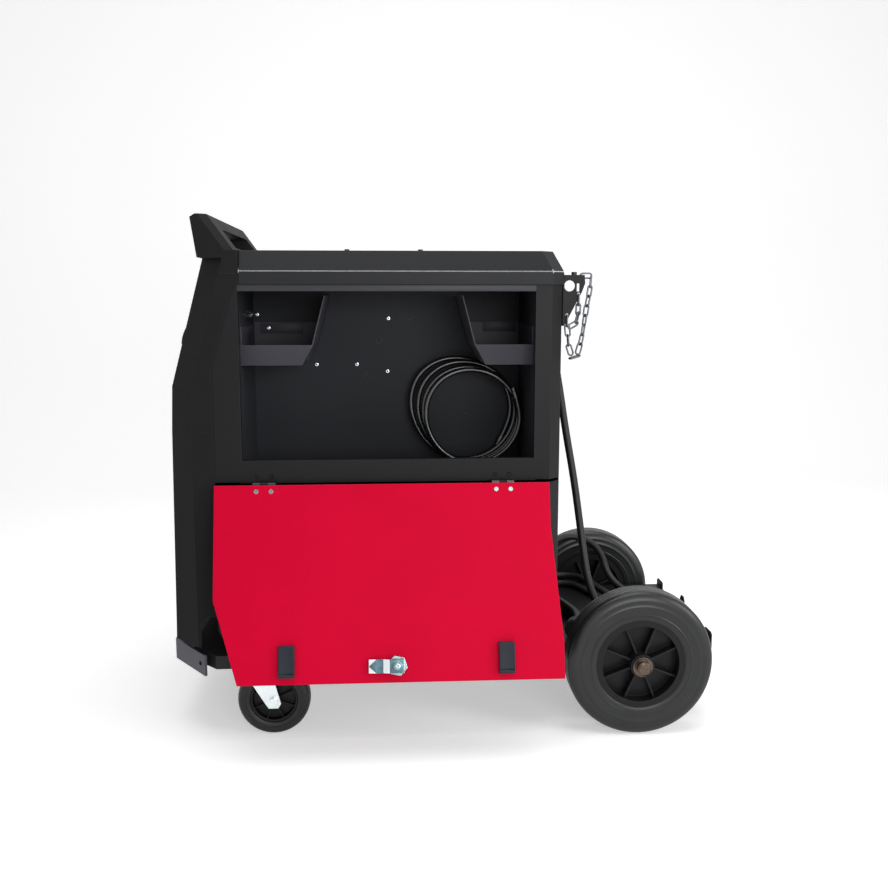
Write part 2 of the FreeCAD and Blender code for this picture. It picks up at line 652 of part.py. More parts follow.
liners = []
for side in ("tool", "wire"):
    liner = new_body(side + "_bay_liner")
    front_wall = opening_front - d.liner_gap
    rear_wall = opening_rear + d.liner_gap
    floor = bay_floor
    wall = d.thin_sheet
    top = d.frame_top - 6
    low_y = -shell_half + d.sheet + 2.5
    high_y = divider_face - 0.5
    if side == "wire":
        low_y = divider_face + d.thin_sheet + 0.5
        high_y = shell_half - d.sheet - 2.5
    pad(liner, "XZ", low_y, high_y - low_y, [
        (front_wall - wall, floor), (rear_wall + wall, floor), (rear_wall + wall, top), (rear_wall, top),
        (rear_wall, floor + wall), (front_wall, floor + wall), (front_wall, top), (front_wall - wall, top)])
    liners.append(liner)
keep(group("bay_liners", liners))


def tray(label, wall_x, width, way):
    """A sheet tray on the end wall of the tool bay, its free end spread outwards like its front lip."""
    body = new_body(label)
    skin = d.thin_sheet
    floor = d.tray_floor
    lip_top = floor + d.tray_lip_height
    low = way * width
    middle = way * (width + d.tray_low_spread)
    high = way * (width + d.tray_low_spread + d.tray_high_spread)
    back = -d.divider_from_middle - 0.8
    front = -d.tray_from_middle
    profile = [(0, floor), (low, floor), (middle, lip_top), (high, d.tray_top),
               (high - way * skin, d.tray_top),
               (middle - way * skin * 1.2, lip_top), (low - way * skin, floor + skin),
               (way * skin, floor + skin),
               (way * skin, lip_top + 30), (0, lip_top + 30)]
    pad(body, "XZ", front, back - front, [(wall_x + x, z) for x, z in profile])
    reach = width + d.tray_low_spread
    pad(body, "YZ", wall_x + (way - 1) * reach / 2, reach,
        [(front, floor), (front - d.tray_lip_lean, lip_top), (front - d.tray_lip_lean + skin, lip_top),
         (front + skin, floor)])
    beyond = way * d.tray_low_spread / d.tray_lip_height
    pocket(body, "XZ", front - d.tray_lip_lean - 1, d.tray_lip_lean + 1 + skin,
           [(wall_x + low - beyond, floor - 1), (wall_x + middle + beyond, lip_top + 1),
            (wall_x + middle + way * 2, lip_top + 1), (wall_x + middle + way * 2, floor - 1)])
    pad(body, "XZ", back - skin, skin,
        [(wall_x + x, z) for x, z in ((0, floor), (low, floor), (middle, lip_top),
                                      (middle, floor + d.tray_back_height), (0, floor + d.tray_back_height))])
    return keep(body)


tray("front_tray", opening_front - d.liner_gap, d.front_tray_width, Size(1, "1"))
tray("rear_tray", opening_rear + d.liner_gap, d.rear_tray_width, Size(-1, "-1"))


# Moulded front: a lower and an upper moulding, drawn level by level

def bezel_outline(side_back, side_front, face, side, inset=0):
    """One level of the moulding; an inset gives the inside of its wall."""
    shift = inset * MITER
    nose = side - d.bezel_corner_width - shift
    edge = side - inset
    return [(face + inset, -nose), (side_front + shift, -edge), (side_back, -edge),
            (side_back, edge), (side_front + shift, edge), (face + inset, nose)]


slope = tangent(d.bezel_lean_angle)
knee_side = bezel_side_front + d.knee_set_back
knee_face = bezel_front + d.knee_set_back


def sloped(x, height):
    return x + (height - d.bezel_knee) * slope


lower_bezel = new_body("lower_bezel")
inside = d.bezel_wall
foot = bezel_front - d.bezel_foot_lean
levels = ((d.bezel_bottom, foot), (d.bezel_seam - 0.2, bezel_front))
loft(lower_bezel, "AdditiveLoft",
     [(z, bezel_outline(pillar_front, bezel_side_front, face, half)) for z, face in levels])
loft(lower_bezel, "SubtractiveLoft",
     [(z, bezel_outline(pillar_front + 20, bezel_side_front, face, half, inside)) for z, face in levels])
pocket(lower_bezel, "XZ", -half - 1, d.cabinet_width + 2, disc(notch_x, notch_z, d.notch_width / 2))
pocket(lower_bezel, "XZ", -half - 1, d.cabinet_width + 2,
       rect(notch_x - d.notch_width / 2, d.bezel_bottom - 1, notch_x + d.notch_width / 2, notch_z))
vents = [rect(-90, d.bezel_bottom + 52 + 13 * row, 90, d.bezel_bottom + 57 + 13 * row) for row in range(5)]
pocket(lower_bezel, "YZ", foot - 1, 12, *vents)
gun_y = -70
gun_z = d.bezel_seam - 88
pocket(lower_bezel, "YZ", foot - 1, 14, disc(gun_y, gun_z, 24))
keep(lower_bezel)

upper_bezel = new_body("upper_bezel")
step_low = d.lid_bottom - 1
cap_z = d.bezel_top
upper_levels = [
    (d.bezel_seam + 0.2, pillar_front, bezel_side_front, bezel_front),
    (d.bezel_knee, pillar_front, knee_side, knee_face),
    (d.pillar_bend, pillar_front, sloped(knee_side, d.pillar_bend), sloped(knee_face, d.pillar_bend)),
    (step_low, pillar_front_top, sloped(knee_side, step_low), sloped(knee_face, step_low)),
    (d.lid_bottom, lid_front - d.lid_gap, sloped(knee_side, d.lid_bottom), sloped(knee_face, d.lid_bottom)),
    (cap_z, lid_front - d.lid_gap, sloped(knee_side, cap_z), sloped(knee_face, cap_z))]
loft(upper_bezel, "AdditiveLoft",
     [(z, bezel_outline(back, side, face, half)) for z, back, side, face in upper_levels])
loft(upper_bezel, "SubtractiveLoft",
     [(z, bezel_outline(back + 20, side, face, half, inside)) for z, back, side, face in upper_levels])
panel_low = d.bezel_knee + 30
panel_high = cap_z - 22
panel_half = 142
pocket(upper_bezel, "YZ", knee_face - 10, 80, rect(-panel_half, panel_low, panel_half, panel_high))
keep(upper_bezel)

handle = new_body("handle")
front_low = sloped(knee_face, cap_z)
rise_x = sloped(knee_face, d.lid_top - 12)
top_x = rise_x - d.handle_front_reach
back_x = lid_front - d.lid_gap
slant_x = back_x - 8
top_back = slant_x - 41
profile = [(front_low, cap_z + 0.2), (rise_x, d.lid_top - 12), (top_x, d.handle_top - 6),
           (top_x + 8, d.handle_top - 1),
           (top_back, d.handle_top), (slant_x, d.lid_top), (back_x, d.lid_top), (back_x, cap_z + 0.2)]
pad(handle, "XZ", -half, d.cabinet_width, profile)
corner = [(front_low - 5, -half - 1), (front_low + d.bezel_corner_length + 1, -half - 1),
          (front_low, -half + d.bezel_corner_width), (front_low - 5, -half + d.bezel_corner_width)]
for way in (1, -1):
    low = [(x, y * way) for x, y in corner]
    lean = (d.lid_top - 12 - cap_z) * slope
    high = [(x + lean, y * way) for x, y in corner]
    loft(handle, "SubtractiveLoft", [(cap_z, low), (d.lid_top - 12, high)])
hollow_front = front_low + d.handle_wall + 8
hollow_side = half - d.bezel_corner_width
pocket(handle, "XY", cap_z - 1, d.lid_top - cap_z + 1 - d.handle_wall,
       rect(hollow_front, -hollow_side, back_x - d.handle_wall, hollow_side))
grip = d.handle_grip_width / 2
pocket(handle, "YZ", top_x - 10, 120, rect(-grip, d.grip_gap_bottom, grip,
                                           d.grip_gap_bottom + d.grip_gap_height))
bevel_x = d.handle_bevel_length
bevel_y = d.handle_bevel_width
for way in (1, -1):
    foot_outline = [(slant_x - bevel_x, (-half - 1) * way), (slant_x, (-half + bevel_y) * way),
                    (slant_x + 9, (-half + bevel_y) * way), (slant_x + 9, (-half - 1) * way)]
    head_outline = [(x - 41.5, y) for x, y in foot_outline]
    loft(handle, "SubtractiveLoft", [(d.lid_top + 0.01, foot_outline), (d.handle_top + 0.7, head_outline)])
keep(handle)

# Control panel in the sloped opening, with its knobs, power switch, gun socket and lead sockets

panel = new_body("control_panel")
panel_set_back = 8


def panel_x(height, depth):
    return sloped(knee_face, height) + depth


pad(panel, "XZ", -panel_half + 0.5, panel_half * 2 - 1, [
    (panel_x(panel_low + 1, panel_set_back), panel_low + 1), (panel_x(panel_high - 1, panel_set_back),
            panel_high - 1),
    (panel_x(panel_high - 1, panel_set_back + 3), panel_high - 1),
    (panel_x(panel_low + 1, panel_set_back + 3), panel_low + 1)])
facing_out = d.bezel_lean_angle - 90
switch_z = panel_low + 24
switch_y = 88
knob_z = panel_low + 42
knob_bush = 9
pocket(panel, "YZ", knee_face, 60, rect(24, panel_high - 56, 116, panel_high - 20),
       rect(switch_y - 7, switch_z - 15.5, switch_y + 7, switch_z + 15.5),
       *[disc(y, knob_z, knob_bush) for y in (-80, 0)])
keep(panel)


def knob(label, y):
    body = new_body(label)
    turn(body, "Revolution", "XZ", "V", [
        (0, -9), (5, -9), (5, 3.4), (23, 3.4), (24, 5.5), (20, 9), (17, 23), (15, 25), (0, 25)])
    pad(body, "XY", 24, 1.6, rect(4, -1.2, 14.5, 1.2))
    return keep(body, x=panel_x(knob_z, panel_set_back), y=y, z=knob_z, axis=(0, 1, 0), angle=facing_out)


knob("voltage_knob", -80)
knob("wire_speed_knob", 0)

switch = new_body("power_switch")
pad(switch, "XZ", -6, 12, [(-12, -8), (12, -8), (12, 1.5), (0, 0.5), (-12, 5)])
pad(switch, "XZ", -6.6, 13.2, disc(0, -4, 1.5))
keep(switch, x=panel_x(switch_z, panel_set_back), y=switch_y, z=switch_z, axis=(0, 1, 0), angle=facing_out)

gun_socket = new_body("gun_socket")
gun_x = foot + (bezel_front - foot) * (gun_z - d.bezel_bottom) / (d.bezel_seam - d.bezel_bottom)
turn(gun_socket, "Revolution", "XY", "H", [
    (-8, 17), (-8, 21), (-5, 27), (-1.2, 27), (-1.2, 23), (46, 23), (46, 7), (40, 7), (40, 17)])
keep(gun_socket, x=gun_x, y=gun_y, z=gun_z)

sockets = []
socket_z = notch_z - 8
for way in (-1, 1):
    socket = new_body("near_output_socket" if way < 0 else "far_output_socket")
    pad(socket, "YZ", -d.socket_length, d.socket_length, disc(0, 0, d.socket_diameter / 2),
        disc(0, 0, d.socket_bore / 2))
    pad(socket, "YZ", -22, 3, rect(-26, d.base_top - socket_z, 26, 32), disc(0, 0, d.socket_diameter / 2 - 1))
    socket.Placement = Placement(Vector(0, 0, 0), Rotation(Vector(0, 0, 1), 1))
    socket.setExpression("Placement.Rotation.Angle", ((d.socket_lean + 90) * way).formula)
    socket.setExpression("Placement.Base.x", (notch_x + 16).formula)
    socket.setExpression("Placement.Base.y", ((shell_half - 25) * way).formula)
    socket.setExpression("Placement.Base.z", socket_z.formula)
    sockets.append(socket)
keep(group("output_sockets", sockets))

# Doors with their hinges and quarter-turn latches, drawn shut, from the hinge pin

latch_x = opening_rear - d.latch_from_opening
door_top = d.door_height
block_top = d.opening_top - d.hinge_height - 2


def across(way, low, high):
    """The lower of two depths from the hinge pin, on the tool side (1) or the wire side (-1)."""
    return low if way > 0 else -size_of(high)


def door(label, way):
    body = new_body(label)
    front = pillar_front + d.door_edge_gap
    front_top = pillar_front_top + d.door_edge_gap
    back = side_rear - d.door_rear_margin
    pad(body, "XZ", across(way, skin_out, skin_in), d.door_sheet, [
        (front, d.door_foot_gap), (back, d.door_foot_gap), (back, d.door_rear_bend_low),
        (back + d.door_rear_wing, d.door_rear_bend_high), (back + d.door_rear_wing, door_top),
        (front_top, door_top), (front, d.door_front_bend)],
        disc(latch_x, d.latch_height, d.barrel_diameter / 2 + 0.2),
        *[disc(hinge + side * 12, 12.4, 2.2) for hinge in hinge_places for side in (Size(-1, "-1"),
                Size(1, "1"))])
    return body


def door_leaves(label, way):
    leaves = []
    reach = d.hinge_width / 2
    middle = d.middle_knuckle / 2
    leaf = d.hinge_leaf_sheet
    for number, hinge in enumerate(hinge_places):
        body = new_body(f"{label}_{number}")
        for start in (hinge - reach, hinge + middle + d.knuckle_gap):
            length = reach - middle - d.knuckle_gap
            pad(body, "YZ", start, length, disc(0, 0, d.knuckle_diameter / 2))
            pad(body, "YZ", start, length, rect(across(way, 0, skin_out), -1.2,
                                                across(way, 0, skin_out) + skin_out, 1.2))
            pad(body, "YZ", start, length, rect(across(way, skin_out - leaf, skin_out), -1.2,
                                                across(way, skin_out - leaf, skin_out) + leaf, 4))
        pad(body, "YZ", hinge - reach, d.hinge_width,
            rect(across(way, skin_out - leaf, skin_out), 3, across(way, skin_out - leaf, skin_out) + leaf,
                 d.hinge_leaf_height))
        pocket(body, "YZ", hinge - reach - 1, d.hinge_width + 2,
               disc(0, 0, d.hinge_pin_diameter / 2 + d.running_clearance))
        pocket(body, "XZ", across(way, skin_out - leaf - 1, skin_out + 1), leaf + 2,
               *[disc(hinge + side * 12, 12.4, 2.2) for side in (Size(-1, "-1"), Size(1, "1"))])
        leaves.append(body)
        for side in (Size(-1, "-1"), Size(1, "1")):
            screw = new_body(f"{label}_screw")
            x = hinge + side * 12
            pad(screw, "XZ", across(way, skin_in + 0.05, skin_in + 0.65), 0.6, disc(x, 12.4, 3.6))
            pad(screw, "XZ", across(way, skin_out - leaf - 1.5, skin_in + 0.1), leaf + d.door_sheet + 1.6,
                disc(x, 12.4, 2))
            leaves.append(screw)
    return leaves


def frame_leaves(way):
    leaves = []
    middle = d.middle_knuckle / 2
    behind = d.hinge_stand_off + d.sheet + 0.1
    leaf = d.hinge_leaf_sheet
    for number, hinge in enumerate(hinge_places):
        body = new_body(f"frame_leaf_{number}")
        start = hinge - middle
        pad(body, "YZ", start, d.middle_knuckle, disc(0, 0, d.knuckle_diameter / 2))
        pad(body, "YZ", start, d.middle_knuckle,
            rect(across(way, 0, behind + leaf), -1.2, across(way, 0, behind + leaf) + behind + leaf, 1.2))
        pad(body, "YZ", hinge - d.hinge_width / 2, d.hinge_width,
            rect(across(way, behind, behind + leaf), -1.2, across(way, behind, behind + leaf) + leaf,
                 d.hinge_leaf_height))
        pad(body, "YZ", hinge - d.hinge_width / 2, d.hinge_width, disc(0, 0, d.hinge_pin_diameter / 2))
        place(body, y=-hinge_y * way, z=d.hinge_height)
        leaves.append(body)
    return leaves


cam_clearance = 1.8


def latch(way, label):
    """The threaded barrel with its outer head and hexagon nut, and the stepped cam that turns on it."""
    barrel = new_body(label + "_barrel")
    nut = d.latch_nut_across / 2
    side = nut / math.cos(math.radians(30))
    at_z = d.latch_height
    pad(barrel, "XZ", across(way, skin_out - 2.6, skin_out - 0.1), 2.5, disc(latch_x, at_z, 12))
    pad(barrel, "XZ", across(way, skin_out - 1, cam_hub), cam_hub - skin_out + 1,
        disc(latch_x, at_z, d.barrel_diameter / 2))
    pad(barrel, "XZ", across(way, skin_in + 0.1, skin_in + d.latch_nut_thickness),
        d.latch_nut_thickness - 0.1,
        [(latch_x + side * math.cos(math.radians(60 * corner + 12)),
          at_z + side * math.sin(math.radians(60 * corner + 12))) for corner in range(6)])
    cam = new_body(label + "_cam")
    hub = cam_hub + 0.3
    tip = d.hinge_stand_off + d.sheet + cam_clearance
    thick = d.cam_sheet
    profile = [(11, hub), (11, hub + thick), (-13, hub + thick), (-22, tip + thick),
               (-d.cam_length, tip + thick),
               (-d.cam_length, tip), (-21, tip), (-12, hub)]
    pad(cam, "XY", at_z - d.cam_width / 2, d.cam_width, [(latch_x + x, y * way) for x, y in profile])
    pad(cam, "XZ", across(way, hub + thick - 0.1, cam_face), cam_face - hub - thick + 0.1,
        disc(latch_x, at_z, d.cam_screw_diameter / 2))
    return barrel, cam


tool_pose = dict(y=-hinge_y, z=d.hinge_height, axis=(1, 0, 0), angle=d.door_open_angle)
wire_pose = dict(y=hinge_y, z=d.hinge_height)
keep(door("tool_door", 1), **tool_pose)
blocks = []
for number, x in enumerate((opening_front + d.bumper_block_in_front, opening_rear - d.bumper_block_in_rear)):
    pad_block = new_body(f"rubber_block_{number}")
    wide = d.bumper_block_width / 2
    pad(pad_block, "XZ", skin_in, d.bumper_block_thickness,
        rect(x - wide, block_top - d.bumper_block_height, x + wide, block_top))
    blocks.append(pad_block)
keep(group("door_bumpers", blocks), **tool_pose)
barrel, cam = latch(1, "latch")
keep(group("tool_door_fittings", door_leaves("tool_door_leaf", 1) + [barrel]), **tool_pose)
keep(cam, **tool_pose)
keep(door("wire_door", -1), **wire_pose)
wire_barrel, wire_cam = latch(-1, "wire_latch")
keep(group("wire_door_fittings", door_leaves("wire_door_leaf", -1) + [wire_barrel]), **wire_pose)
keep(wire_cam, **wire_pose)
hinge_frame_leaves = group("hinge_frame_leaves", frame_leaves(1) + frame_leaves(-1))
parts.append(hinge_frame_leaves)

# Cylinder bracket behind the lid, and the fasteners of the case

bracket = new_body("cylinder_bracket")
saddle = d.bracket_width / 2
skin = d.bracket_sheet
face = rear
ear_rear = face + d.bracket_reach
hook_hole = 2.5
hook_places = [(7.5, 66), (26.5, 31.5)]
pad(bracket, "XY", d.bracket_top - skin, skin, [
    (face, -saddle), (ear_rear, -saddle), (ear_rear, -saddle + 46), (face + d.bracket_web, -saddle + 70),
    (face + d.bracket_web, saddle - 70), (ear_rear, saddle - 46), (ear_rear, saddle), (face, saddle)],
    disc(ear_rear - 6, -saddle + 8, 2.5))
pad(bracket, "YZ", face, skin, rect(-saddle, d.bracket_top - d.bracket_depth, saddle, d.bracket_top))
for start in (-saddle, saddle - skin):
    pad(bracket, "XZ", start, skin, [
        (face, d.bracket_top), (ear_rear, d.bracket_top), (ear_rear + 1, d.bracket_top - 14),
        (ear_rear - 4, d.bracket_top - d.bracket_lip), (face + 3, d.bracket_top - d.bracket_depth),
        (face, d.bracket_top - d.bracket_depth)],
        disc(face + 11, d.bracket_top - 18, d.bracket_hole / 2),
        *[disc(face + x, d.bracket_top - z, hook_hole) for x, z in hook_places])
    pocket(bracket, "XZ", start - 1, skin + 2, rect(face + 23, d.bracket_top - 27, face + 27.5,
                                                    d.bracket_top - 14))
pocket(bracket, "YZ", face - 1, skin + 2, rect(-120, d.bracket_top - 66, 120, d.bracket_top - 24),
       disc(0, 690, 20))
keep(bracket)

screws = []


def screw_head(x, y, z, plane, start, height, radius):
    head = new_body("screw_head")
    spot = {"XY": (x, y), "XZ": (x, z), "YZ": (y, z)}[plane]
    pad(head, plane, start, height, disc(*spot, radius))
    screws.append(head)


lid_screw_y = half - d.lid_side_inset - 23
for x in (opening_front + 175, opening_front + 295):
    for y in (-lid_screw_y, lid_screw_y):
        screw_head(x, y, 0, "XY", d.lid_top, 3, 4)
for x, below in ((110, 133), (184, 133), (240, 146), (242, 49)):
    screw_head(opening_front + x, 0, d.opening_top - below, "XZ", divider_face - 1.6, 1.6, 3.4)
for inwards in (28, 58):
    for y in (inwards - saddle, saddle - inwards):
        screw_head(0, y, d.bracket_top - 60, "YZ", face + skin, 4, 5)
for y in (10 - saddle, saddle - 10):
    screw_head(face + 20, y, 0, "XY", d.bracket_top, 5, 4.5)
keep(group("case_screws", screws))

# Wire drive side: spool, spindle, drive with its rolls and pressure arm

spool_x = opening_rear - d.spool_from_rear_post
spool_y = 90
spool = new_body("spool_body")
flange = d.spool_diameter / 2
core = d.spool_core_diameter / 2
wide = d.spool_width / 2
bore = d.spindle_diameter / 2 + d.running_clearance
wall = d.spool_flange
hub = bore + wall * 2
turn(spool, "Revolution", "XY", "V", [
    (bore, -wide), (hub, -wide), (hub, -wall / 2), (core - wall, -wall / 2), (core - wall, -wide),
    (flange, -wide),
    (flange, -wide + wall), (core, -wide + wall), (core, wide - wall), (flange, wide - wall), (flange, wide),
    (core - wall, wide), (core - wall, wall / 2), (hub, wall / 2), (hub, wide), (bore, wide)])
winding = new_body("spool_winding")
winding_half = wide - wall - 0.2
turn(winding, "Revolution", "XY", "V",
     rect(core + 0.2, -winding_half, d.spool_wire_diameter / 2, winding_half))
keep(group("wire_spool", [spool, winding]), x=spool_x, y=spool_y, z=d.spool_height)

spindle = new_body("spool_spindle")
spindle_radius = d.spindle_diameter / 2
divider_back = d.thin_sheet - d.divider_from_middle
turn(spindle, "Revolution", "XY", "V", [
    (0, divider_back), (38, divider_back), (38, divider_back + 5), (spindle_radius, divider_back + 5),
    (spindle_radius, spool_y + wide + 1), (spindle_radius + 7, spool_y + wide + 1),
    (spindle_radius + 7, spool_y + wide + 9), (0, spool_y + wide + 9)])
keep(spindle, x=spool_x, z=d.spool_height)

drive_x = opening_front + 70
drive_z = 560
drive = new_body("wire_drive")
pad(drive, "XZ", divider_back, 40, rect(drive_x - 42, drive_z - 40, drive_x + 42, drive_z + 34))
pad(drive, "XY", drive_z - 108, 70, disc(drive_x, divider_back + 34, 30))
pad(drive, "XZ", divider_back + 39, 22, disc(drive_x, drive_z, 5))
pad(drive, "XZ", divider_back + 39, 18, disc(drive_x - 34, drive_z + 26, 4))
keep(drive)
roll = new_body("drive_roll")
turn(roll, "Revolution", "XY", "V", [
    (5.05, -6), (18, -6), (18, -1), (17, 0), (18, 1), (18, 6), (5.05, 6)])
keep(roll, x=drive_x, y=divider_back + 47, z=drive_z)
arm = new_body("pressure_arm")
roll_gap = 36.2
pad(arm, "XZ", 1, 4, [(-4, -9), (4, -9), (30, 4), (62, 4), (62, 14), (26, 14), (-4, 8), (-8, 0)],
    disc(0, 0, 4.05))
pad(arm, "XZ", -5.5, 7, disc(34, roll_gap - 26, 17.5))
keep(arm, x=drive_x - 34, y=divider_back + 47, z=drive_z + 26)

# Power pieces in the base, cooling fan, gas valve and control board

transformer = new_body("transformer")
trafo_x = opening_front + 150
pad(transformer, "XZ", -60, 120, rect(trafo_x - 90, d.base_top, trafo_x + 90, d.base_top + 170),
    rect(trafo_x - 62, d.base_top + 30, trafo_x - 18, d.base_top + 140),
    rect(trafo_x + 18, d.base_top + 30, trafo_x + 62, d.base_top + 140))
pad(transformer, "XY", d.base_top + 32, 106, rect(trafo_x - 60, -90, trafo_x + 60, 90),
    rect(trafo_x - 17, -59, trafo_x + 17, 59))
keep(transformer)
heat_sink = new_body("heat_sink")
sink_x = opening_rear - 130
pad(heat_sink, "XY", d.base_top, 110, rect(sink_x - 60, -70, sink_x + 60, -62))
pad(heat_sink, "XY", d.base_top, 110, *[rect(sink_x - 60 + 12 * fin, -63, sink_x - 56 + 12 * fin, -10)
                                        for fin in range(10)])
keep(heat_sink)
board = new_body("control_board")
pad(board, "YZ", pillar_front - 6, 1.6, rect(-120, d.bezel_knee + 30, 120, d.bezel_knee + 150))
pad(board, "YZ", pillar_front - 22, 16.5, rect(-100, d.bezel_knee + 60, -60, d.bezel_knee + 84),
    rect(60, d.bezel_knee + 100, 90, d.bezel_knee + 130))
keep(board)

fan_y = -d.fan_from_middle
grille = new_body("fan_guard")
guard = d.fan_diameter / 2
pad(grille, "YZ", shell_rear, 2.5, disc(fan_y, d.fan_height, guard + 9), disc(fan_y, d.fan_height, guard - 3))
for ring in range(1, 5):
    radius = guard - 3 - 14 * ring
    pad(grille, "YZ", shell_rear, 2.5, disc(fan_y, d.fan_height, radius + 1.5),
        disc(fan_y, d.fan_height, radius - 1.5))
for y0, z0, y1, z1 in ((-1.5, -guard, 1.5, guard), (-guard, -1.5, guard, 1.5)):
    pad(grille, "YZ", shell_rear, 2.5, rect(fan_y + y0, d.fan_height + z0, fan_y + y1, d.fan_height + z1))
fan_motor = new_body("fan_motor")
pad(fan_motor, "YZ", shell_rear - 80, 36, disc(fan_y, d.fan_height, 32))
pad(fan_motor, "YZ", shell_rear - 44.5, 20, disc(fan_y, d.fan_height, 4))
for way in (-1, 1):
    pad(fan_motor, "YZ", shell_rear - 78, 76,
        rect(fan_y + way * (guard + 6) - 2, d.fan_height - 10, fan_y + way * (guard + 6) + 2,
             d.fan_height + 10))
pad(fan_motor, "YZ", shell_rear - 78, 4, rect(fan_y - guard - 7, d.fan_height - 10, fan_y + guard + 7,
                                              d.fan_height + 10))
keep(group("fan_grille", [grille, fan_motor]))
fan = new_body("fan_blades")
turn(fan, "Revolution", "XY", "H", [(-12, 4.05), (-12, 22), (12, 22), (12, 20), (0, 20), (0, 4.05)])
blade = pad(fan, "XZ", 18, guard - 24, [(-11, -6), (-9, -8), (11, 6), (9, 8)])
doc.recompute()
around(fan, blade, "X_Axis", 6)
keep(fan, x=shell_rear - 28, y=fan_y, z=d.fan_height)

valve = new_body("gas_valve")
valve_y = 120
valve_z = 520
pad(valve, "YZ", shell_rear - d.sheet - 38, 38, rect(valve_y - 14, valve_z - 14, valve_y + 14, valve_z + 14))
pad(valve, "YZ", shell_rear - d.sheet - 1, 26, disc(valve_y, valve_z, 8))
pad(valve, "YZ", shell_rear, 7, [(valve_y + 12 * math.cos(math.radians(60 * corner)),
                                  valve_z + 12 * math.sin(math.radians(60 * corner))) for corner in range(6)])
pad(valve, "XY", valve_z + 14, 40, disc(shell_rear - 22, valve_y, 12))
keep(valve)

# Wound and hanging things: mains lead, its bundle on the carrier deck, gas hose and cylinder chain


def direction(start, end):
    return (end - start).normalize()


def arc_from(start, heading, end):
    """The circular arc that leaves start along a heading and reaches end."""
    chord = end - start
    along = direction(start, end)
    side = heading - along * heading.dot(along)
    if side.Length < 1e-7:
        return Part.LineSegment(start, end).toShape()
    rise = chord.Length / 2 * math.tan(heading.getAngle(along) / 2)
    return Part.Arc(start, (start + end) * 0.5 + side.normalize() * rise, end).toShape()


def biarc(start, heading, end, end_heading):
    """Two arcs that share a tangent, from one point and heading to another."""
    chord = end - start
    both = heading + end_heading
    spread = 2 * (1 - heading.dot(end_heading))
    if spread < 1e-9:
        reach = chord.dot(chord) / (4 * chord.dot(heading))
    else:
        lean = chord.dot(both)
        reach = (-lean + math.sqrt(lean * lean + spread * chord.dot(chord))) / spread
    middle = (start + heading * reach + end - end_heading * reach) * 0.5
    middle_heading = direction(start + heading * reach, end - end_heading * reach)
    return [arc_from(start, heading, middle), arc_from(middle, middle_heading, end)]


def rounded_route(label, points):
    """Straight runs joined by tangent arcs, each as large as its two runs allow."""
    corners = [Vector(*point) for point in points]
    edges = []
    last = corners[0]
    radii = []
    for before, corner, after in zip(corners, corners[1:], corners[2:]):
        arriving, leaving = direction(before, corner), direction(corner, after)
        cut = 0.45 * min((corner - before).Length, (after - corner).Length)
        radii.append(cut / math.tan(arriving.getAngle(leaving) / 2))
        edges.append(Part.LineSegment(last, corner - arriving * cut).toShape())
        last = corner + leaving * cut
        edges.append(arc_from(corner - arriving * cut, arriving, last))
    edges.append(Part.LineSegment(last, corners[-1]).toShape())
    print(label, "bend radii", [round(radius) for radius in radii])
    return edges


def tube(label, edges, radius):
    """A round tube along a route, and its length."""
    path = Part.Wire(edges)
    start = edges[0].Vertexes[0].Point
    section = Part.Wire(Part.Circle(start, edges[0].tangentAt(edges[0].FirstParameter), radius).toShape())
    solid = path.makePipeShell([section], True, False)
    print(label, "length", round(path.Length), "volume ratio",
          round(solid.Volume / (path.Length * math.pi * radius * radius), 4))
    return solid, path


def least_gap(label, path, diameter):
    """Prints the least clear gap between turns, measured on points along the path."""
    count = int(path.Length / 4)
    points = path.discretize(Number=count)
    apart = int(2.5 * diameter / 4) + 1
    gap = min(points[i].distanceToPoint(points[j]) for i in range(count) for j in range(i + apart, count))
    print(label, "least gap between turns", round(gap - diameter, 2))


def keep_shape(label, shapes):
    piece = doc.addObject("Part::Feature", label)
    piece.Label = label
    piece.Shape = shapes[0] if len(shapes) == 1 else Part.makeCompound(shapes)
    return keep(piece)


cord_radius = d.cord_diameter.value / 2
deck_level = d.platform_top.value + cord_radius + 0.3
bundle_pitch = d.cord_diameter.value + 1
layer_step = d.cord_diameter.value + 0.6
bundle_middle = Vector(-48, 38, 0)
along_bundle = Vector(0.3, -math.sqrt(1 - 0.3 ** 2), 0)
across_bundle = Vector(-along_bundle.y, along_bundle.x, 0)
bundle_half = 85


def bundle_point(run, offset, level):
    return bundle_middle + along_bundle * run + across_bundle * offset + Vector(0, 0, level)


offsets = [-42, 49.5, -57, 64.5, -57]
levels = [deck_level, deck_level, deck_level, deck_level, deck_level + layer_step]
bundle_start = bundle_point(0, offsets[0], deck_level)
turns = [Part.LineSegment(bundle_start, bundle_point(bundle_half, offsets[0], deck_level)).toShape()]
for number in range(1, len(offsets)):
    way = 1 if number % 2 else -1
    heading = along_bundle * way
    cap_level = levels[number] if number == len(offsets) - 1 else levels[number - 1]
    before = bundle_point(bundle_half * way, offsets[number - 1], cap_level)
    after = bundle_point(bundle_half * way, offsets[number], cap_level)
    turns += biarc(before, heading, after, heading * -1)
    if number == len(offsets) - 1:
        turns.append(Part.LineSegment(after, bundle_point(40, offsets[number], cap_level)).toShape())
    elif levels[number + 1] > levels[number]:
        turns += biarc(after, heading * -1,
                       bundle_point(-bundle_half * way, offsets[number], levels[number + 1]), heading * -1)
    else:
        turns.append(Part.LineSegment(
            after, bundle_point(-bundle_half * way, offsets[number], levels[number])).toShape())
bundle_end = bundle_point(40, offsets[-1], levels[-1])

